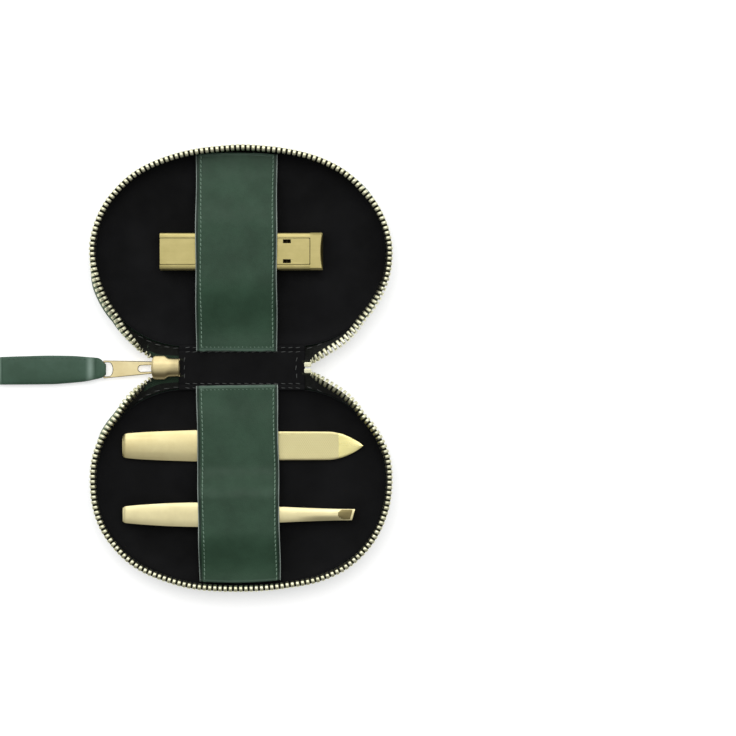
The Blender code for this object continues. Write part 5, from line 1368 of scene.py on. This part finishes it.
def make_tweezers():
    share = shares_along((0.0, 0.03, 9), (0.03, 0.9, 70), (0.9, 1.0, 22))
    along = share[:, None]
    half = TWEEZERS_HALF * through(TWEEZER_SHARES, TWEEZER_HALVES, share)
    grind = smooth((along - 0.9) / 0.1)
    low_side = smooth((along - 0.74) / 0.12) * smooth((0.97 - along) / 0.05)
    dome = 0.26 * np.abs(ACROSS) ** 3 + 0.4 * (1 - smooth(along / 0.02)) ** 2
    dome = dome + 0.45 * low_side * smooth((-0.25 - ACROSS) / 0.75)
    dome = dome * (1 - 0.6 * grind) + 0.55 * grind
    slant = 1.1 * grind
    x = TWEEZERS_START + TWEEZERS_LENGTH * along - slant / 2
    # The ground facet by the tip takes the dark gold: painted shade.
    looks = np.zeros((len(share) - 1, len(ACROSS) + len(BACK)), int)
    for n, start in enumerate(GROUND_FROM):
        looks[(share[1:] > start) & (share[1:] < 0.994), 3 + n] = 1
    for name, sign, body, node in (
            ("tweezers_arm_low", -1.0, "tweezers", "tweezers_lower_arm"),
            ("tweezers_arm_top", 1.0, "tweezers_spring_arm", "tweezers_upper_arm")):
        inner = TWEEZERS_Z + sign * (0.15 + 1.65 * arm_bow(along))
        front = inner + sign * np.maximum(1.2 - dome, 0.18)
        back = inner + sign * 0.08 * (np.abs(BACK) > 0.95)
        shape = Shape()
        shape.grid(bar_rings(x, TWEEZERS_Y, half, front, back, slant), closed=True, caps=True,
                   finish=looks)
        stand(shape.piece(name, [GOLD_PALE, GROUND_SHADE], sharp=35.0), body, "gold_steel", node)


CLIP_Y = 85.0
CLIP_HALF = 6.8
CLIP_TAIL, CLIP_NOSE = -29.7, 30.3
CLIP_HOLLOW = 0.7
CLIP_WIDE = np.linspace(-CLIP_HALF, CLIP_HALF, 21)
NOSE_FROM = 25.7
LEVER_HALF = 4.75
LEVER_Z = (8.9, 10.0)
PIN_X, PIN_Z = 17.1, 8.0
RAIL = ((6.7, 5.8), (6.8, 5.85), (6.8, 9.3), (6.76, 9.6), (6.64, 9.84), (6.4, 10.0), (6.0, 10.07),
        (5.4, 10.1), (4.98, 10.1), (4.9, 10.02), (4.9, 6.9))


def clipper_slab(shape, x, start, top, low):
    """A plate the clipper's width, drawn back from a start on to its concave cutting end."""
    x = x[:, None]
    end = CLIP_NOSE - CLIP_HOLLOW * (1 - (CLIP_WIDE / CLIP_HALF) ** 2)
    x = np.where(x < start, x, start + (x - start) * (end - start) / (CLIP_NOSE - start))
    above, under = (spread_out(x, CLIP_Y + CLIP_WIDE, z) for z in (top, low))
    shape.grid(np.concatenate([above, under[:, ::-1]], 1), closed=True, caps=True)


def make_clipper():
    stations = np.concatenate([np.linspace(CLIP_TAIL, 20.7, 30), np.linspace(21.2, CLIP_NOSE, 20)])
    low_z = through((CLIP_TAIL, 20.0, 22.0, NOSE_FROM, CLIP_NOSE), (3.5, 3.5, 3.55, 3.95, 4.4),
                    stations)[:, None]
    top_z = through((CLIP_TAIL, 20.0, 21.0, NOSE_FROM, 28.0, CLIP_NOSE),
                    (4.6, 4.6, 4.62, 4.9, 5.05, 5.75), stations)[:, None]
    shape = Shape()
    soft = 0.12 * smooth((np.abs(CLIP_WIDE) - 6.4) / 0.4)
    clipper_slab(shape, stations, 24.0, top_z - soft, low_z + soft)
    stand(shape.piece("clipper_jaw_low", [GOLD_DEEP], sharp=30.0), "clipper", "gold_steel",
          "clipper_lower_jaw")

    # Upper jaw: a channel with rounded rails, closed by the blade
    section = [(-6.7, 5.8), *RAIL, *[(-w, z) for w, z in RAIL[:0:-1]]]
    rings = []
    for x, shrink in ((CLIP_TAIL, 0.12), (-29.62, 0.04), (-29.5, 0.0), (-10.0, 0.0), (10.0, 0.0),
                      (25.75, 0.0)):
        rings.append([(x, CLIP_Y + w * (1 - shrink / 7), z - shrink * (z > 7.5))
                      for w, z in section])
    # The channel's inner walls and floor take the dark metal: painted shade.
    finish = np.zeros(len(section), int)
    finish[10:13] = 1
    shape = Shape()
    shape.grid(rings, closed=True, caps=True, finish=finish)
    nose = np.concatenate([np.linspace(NOSE_FROM, 26.0, 3), np.linspace(26.4, CLIP_NOSE, 14)])
    nose_top = through((NOSE_FROM, 29.9, 30.2, CLIP_NOSE), (10.1, 10.02, 9.95, 9.7), nose)[:, None]
    nose_low = through((NOSE_FROM, 28.0, CLIP_NOSE), (5.8, 5.8, 6.55), nose)[:, None]
    soft = 0.7 * bowl((np.abs(CLIP_WIDE) - 6.12) / 0.7)
    clipper_slab(shape, nose, NOSE_FROM, np.maximum(nose_top - soft, nose_low + 0.2), nose_low)
    stand(shape.piece("clipper_jaw_top", [GOLD_DEEP, CHANNEL_SHADE_METAL], sharp=30.0), "clipper_jaw",
          "gold_steel", "clipper_upper_jaw")

    # Lever with its two slots, and the lugs that hold its pin
    outline = corner_round(oblong(-29.6, 25.45, CLIP_Y - LEVER_HALF, CLIP_Y + LEVER_HALF), 0.35)
    slots = []
    for sign in (-1.0, 1.0):
        beside = sorted((CLIP_Y + sign * 4.35, CLIP_Y + sign * 2.95))
        slots.append(corner_round(oblong(15.65, 18.55, *beside), 0.15, 3))
    shape = Shape()
    shape.plate(outline, slots, *LEVER_Z)
    lug = [*arc(PIN_X, PIN_Z, 1.0, 1.0, 180.0, 360.0, 13), (18.1, 9.1), (16.1, 9.1)]
    for sign in (-1.0, 1.0):
        sides = sorted((CLIP_Y + sign * 2.9, CLIP_Y + sign * 2.1))
        shape.grid([[(x, y, z) for x, z in lug] for y in sides], closed=True, caps=True)
    stand(shape.piece("clipper_lever_plate", [GOLD_DEEP], sharp=30.0, bevel=0.07), "clipper_lever",
          "gold_steel", "clipper_lever")


# Frame nodes that stay

def dress_nodes():
    # The clipper's hinge pin takes the dark metal: painted shade.
    for name, finish in (("base_stiffener", BOARD), ("cover_stiffener", BOARD),
                         ("clipper_hinge_pin", CHANNEL_SHADE_METAL), ("clipper_tail_rivet", GOLD_DEEP)):
        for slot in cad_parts[name].material_slots:
            slot.material = finish


# Floor, light and camera

WHITE = (1.0, 1.0, 1.0, 1.0)
FLOOR_HALF, FLOOR_Z = 3.0, -0.00005
FLOOR_GLOW = 0.5
SKY_RAMP = {"From Min": -0.75, "From Max": 0.75, "To Min": 0.24, "To Max": 0.98}
LAMPS = {
    "softbox": {"at": (0.0, 0.75, 1.9), "size": (2.0, 1.2), "power": 10.5},
    "key": {"at": (-1.1, 1.2, 1.2), "size": (1.0, 1.0), "power": 3.0},
}
LIT_POINT = (0.0, 0.04, 0.0)


def make_floor():
    mesh = bpy.data.meshes.new("floor")
    corners = [(x, y, FLOOR_Z) for x, y in square(0.0, 0.0, FLOOR_HALF)]
    mesh.from_pydata(corners, [], [[0, 1, 2, 3]])
    floor = placed("floor", mesh)
    made = Finish("floor_white", (0.86, 0.86, 0.86), 0.9, {"Specular IOR Level": 0.0})
    tone = made.ranged(made.noise(made.place(), 3.0, 2.0), 0.3, 0.7, 0.0, 1.0)
    made.colour(made.mixed(tone, (0.85, 0.85, 0.85), (0.87, 0.87, 0.87)))
    rays = made.add("ShaderNodeLightPath")
    seen = made.sum(rays.outputs["Is Camera Ray"], rays.outputs["Is Glossy Ray"],
                    rays.outputs["Is Transmission Ray"], operation="MAXIMUM")
    made.put(made.shader, {"Emission Color": WHITE})
    made.link(made.ranged(seen, 0.0, 1.0, 0.0, FLOOR_GLOW), made.shader, "Emission Strength")
    mesh.materials.append(made.material)


def make_world():
    """White to the camera, and a soft light that grows along Y to everything else."""
    world = bpy.data.worlds.new("studio")
    bpy.context.scene.world = world
    world.use_nodes = True
    made = Nodes(world.node_tree)
    back = made.tree.nodes["Background"]
    way = made.add("ShaderNodeTexCoord").outputs["Generated"]
    along = made.fed("ShaderNodeSeparateXYZ", way, 0, "Y")
    level = made.fed("ShaderNodeMapRange", along, "Value", "Result", SKY_RAMP,
                     interpolation_type="SMOOTHSTEP")
    seen = made.add("ShaderNodeMix", {3: 1.0}, data_type="FLOAT")
    made.link(level, seen, 2)
    made.link(made.add("ShaderNodeLightPath").outputs["Is Camera Ray"], seen, 0)
    made.link(seen.outputs[0], back, "Strength")
    made.put(back, {"Color": WHITE})


def make_lamps():
    for name, facts in LAMPS.items():
        light = bpy.data.lights.new(name, "AREA")
        light.shape = "RECTANGLE"
        light.size, light.size_y = facts["size"]
        light.energy = facts["power"]
        lamp = placed(name, light)
        lamp.location = facts["at"]
        lamp.rotation_mode = "QUATERNION"
        way = Vector(LIT_POINT) - Vector(facts["at"])
        lamp.rotation_quaternion = way.to_track_quat("-Z", "Y")


def make_camera():
    lens = bpy.data.cameras.new("photo_camera")
    lens.sensor_width = 36.0
    lens.lens = 159.0
    camera = placed("photo_camera", lens)
    camera.location = (0.0469, 0.0421, 1.204)
    bpy.context.scene.camera = camera
    bpy.context.scene.view_settings.view_transform = "Standard"


for side in ("base", "cover"):
    make_outer_leather(side)
    make_lining(side)
    make_zip(side)
    make_strap(side)
for make in (make_spine_skins, make_slider, make_stops, make_puller, make_tab, make_badge,
             make_file, make_tweezers, make_clipper, dress_nodes, make_floor, make_world,
             make_lamps, make_camera):
    make()
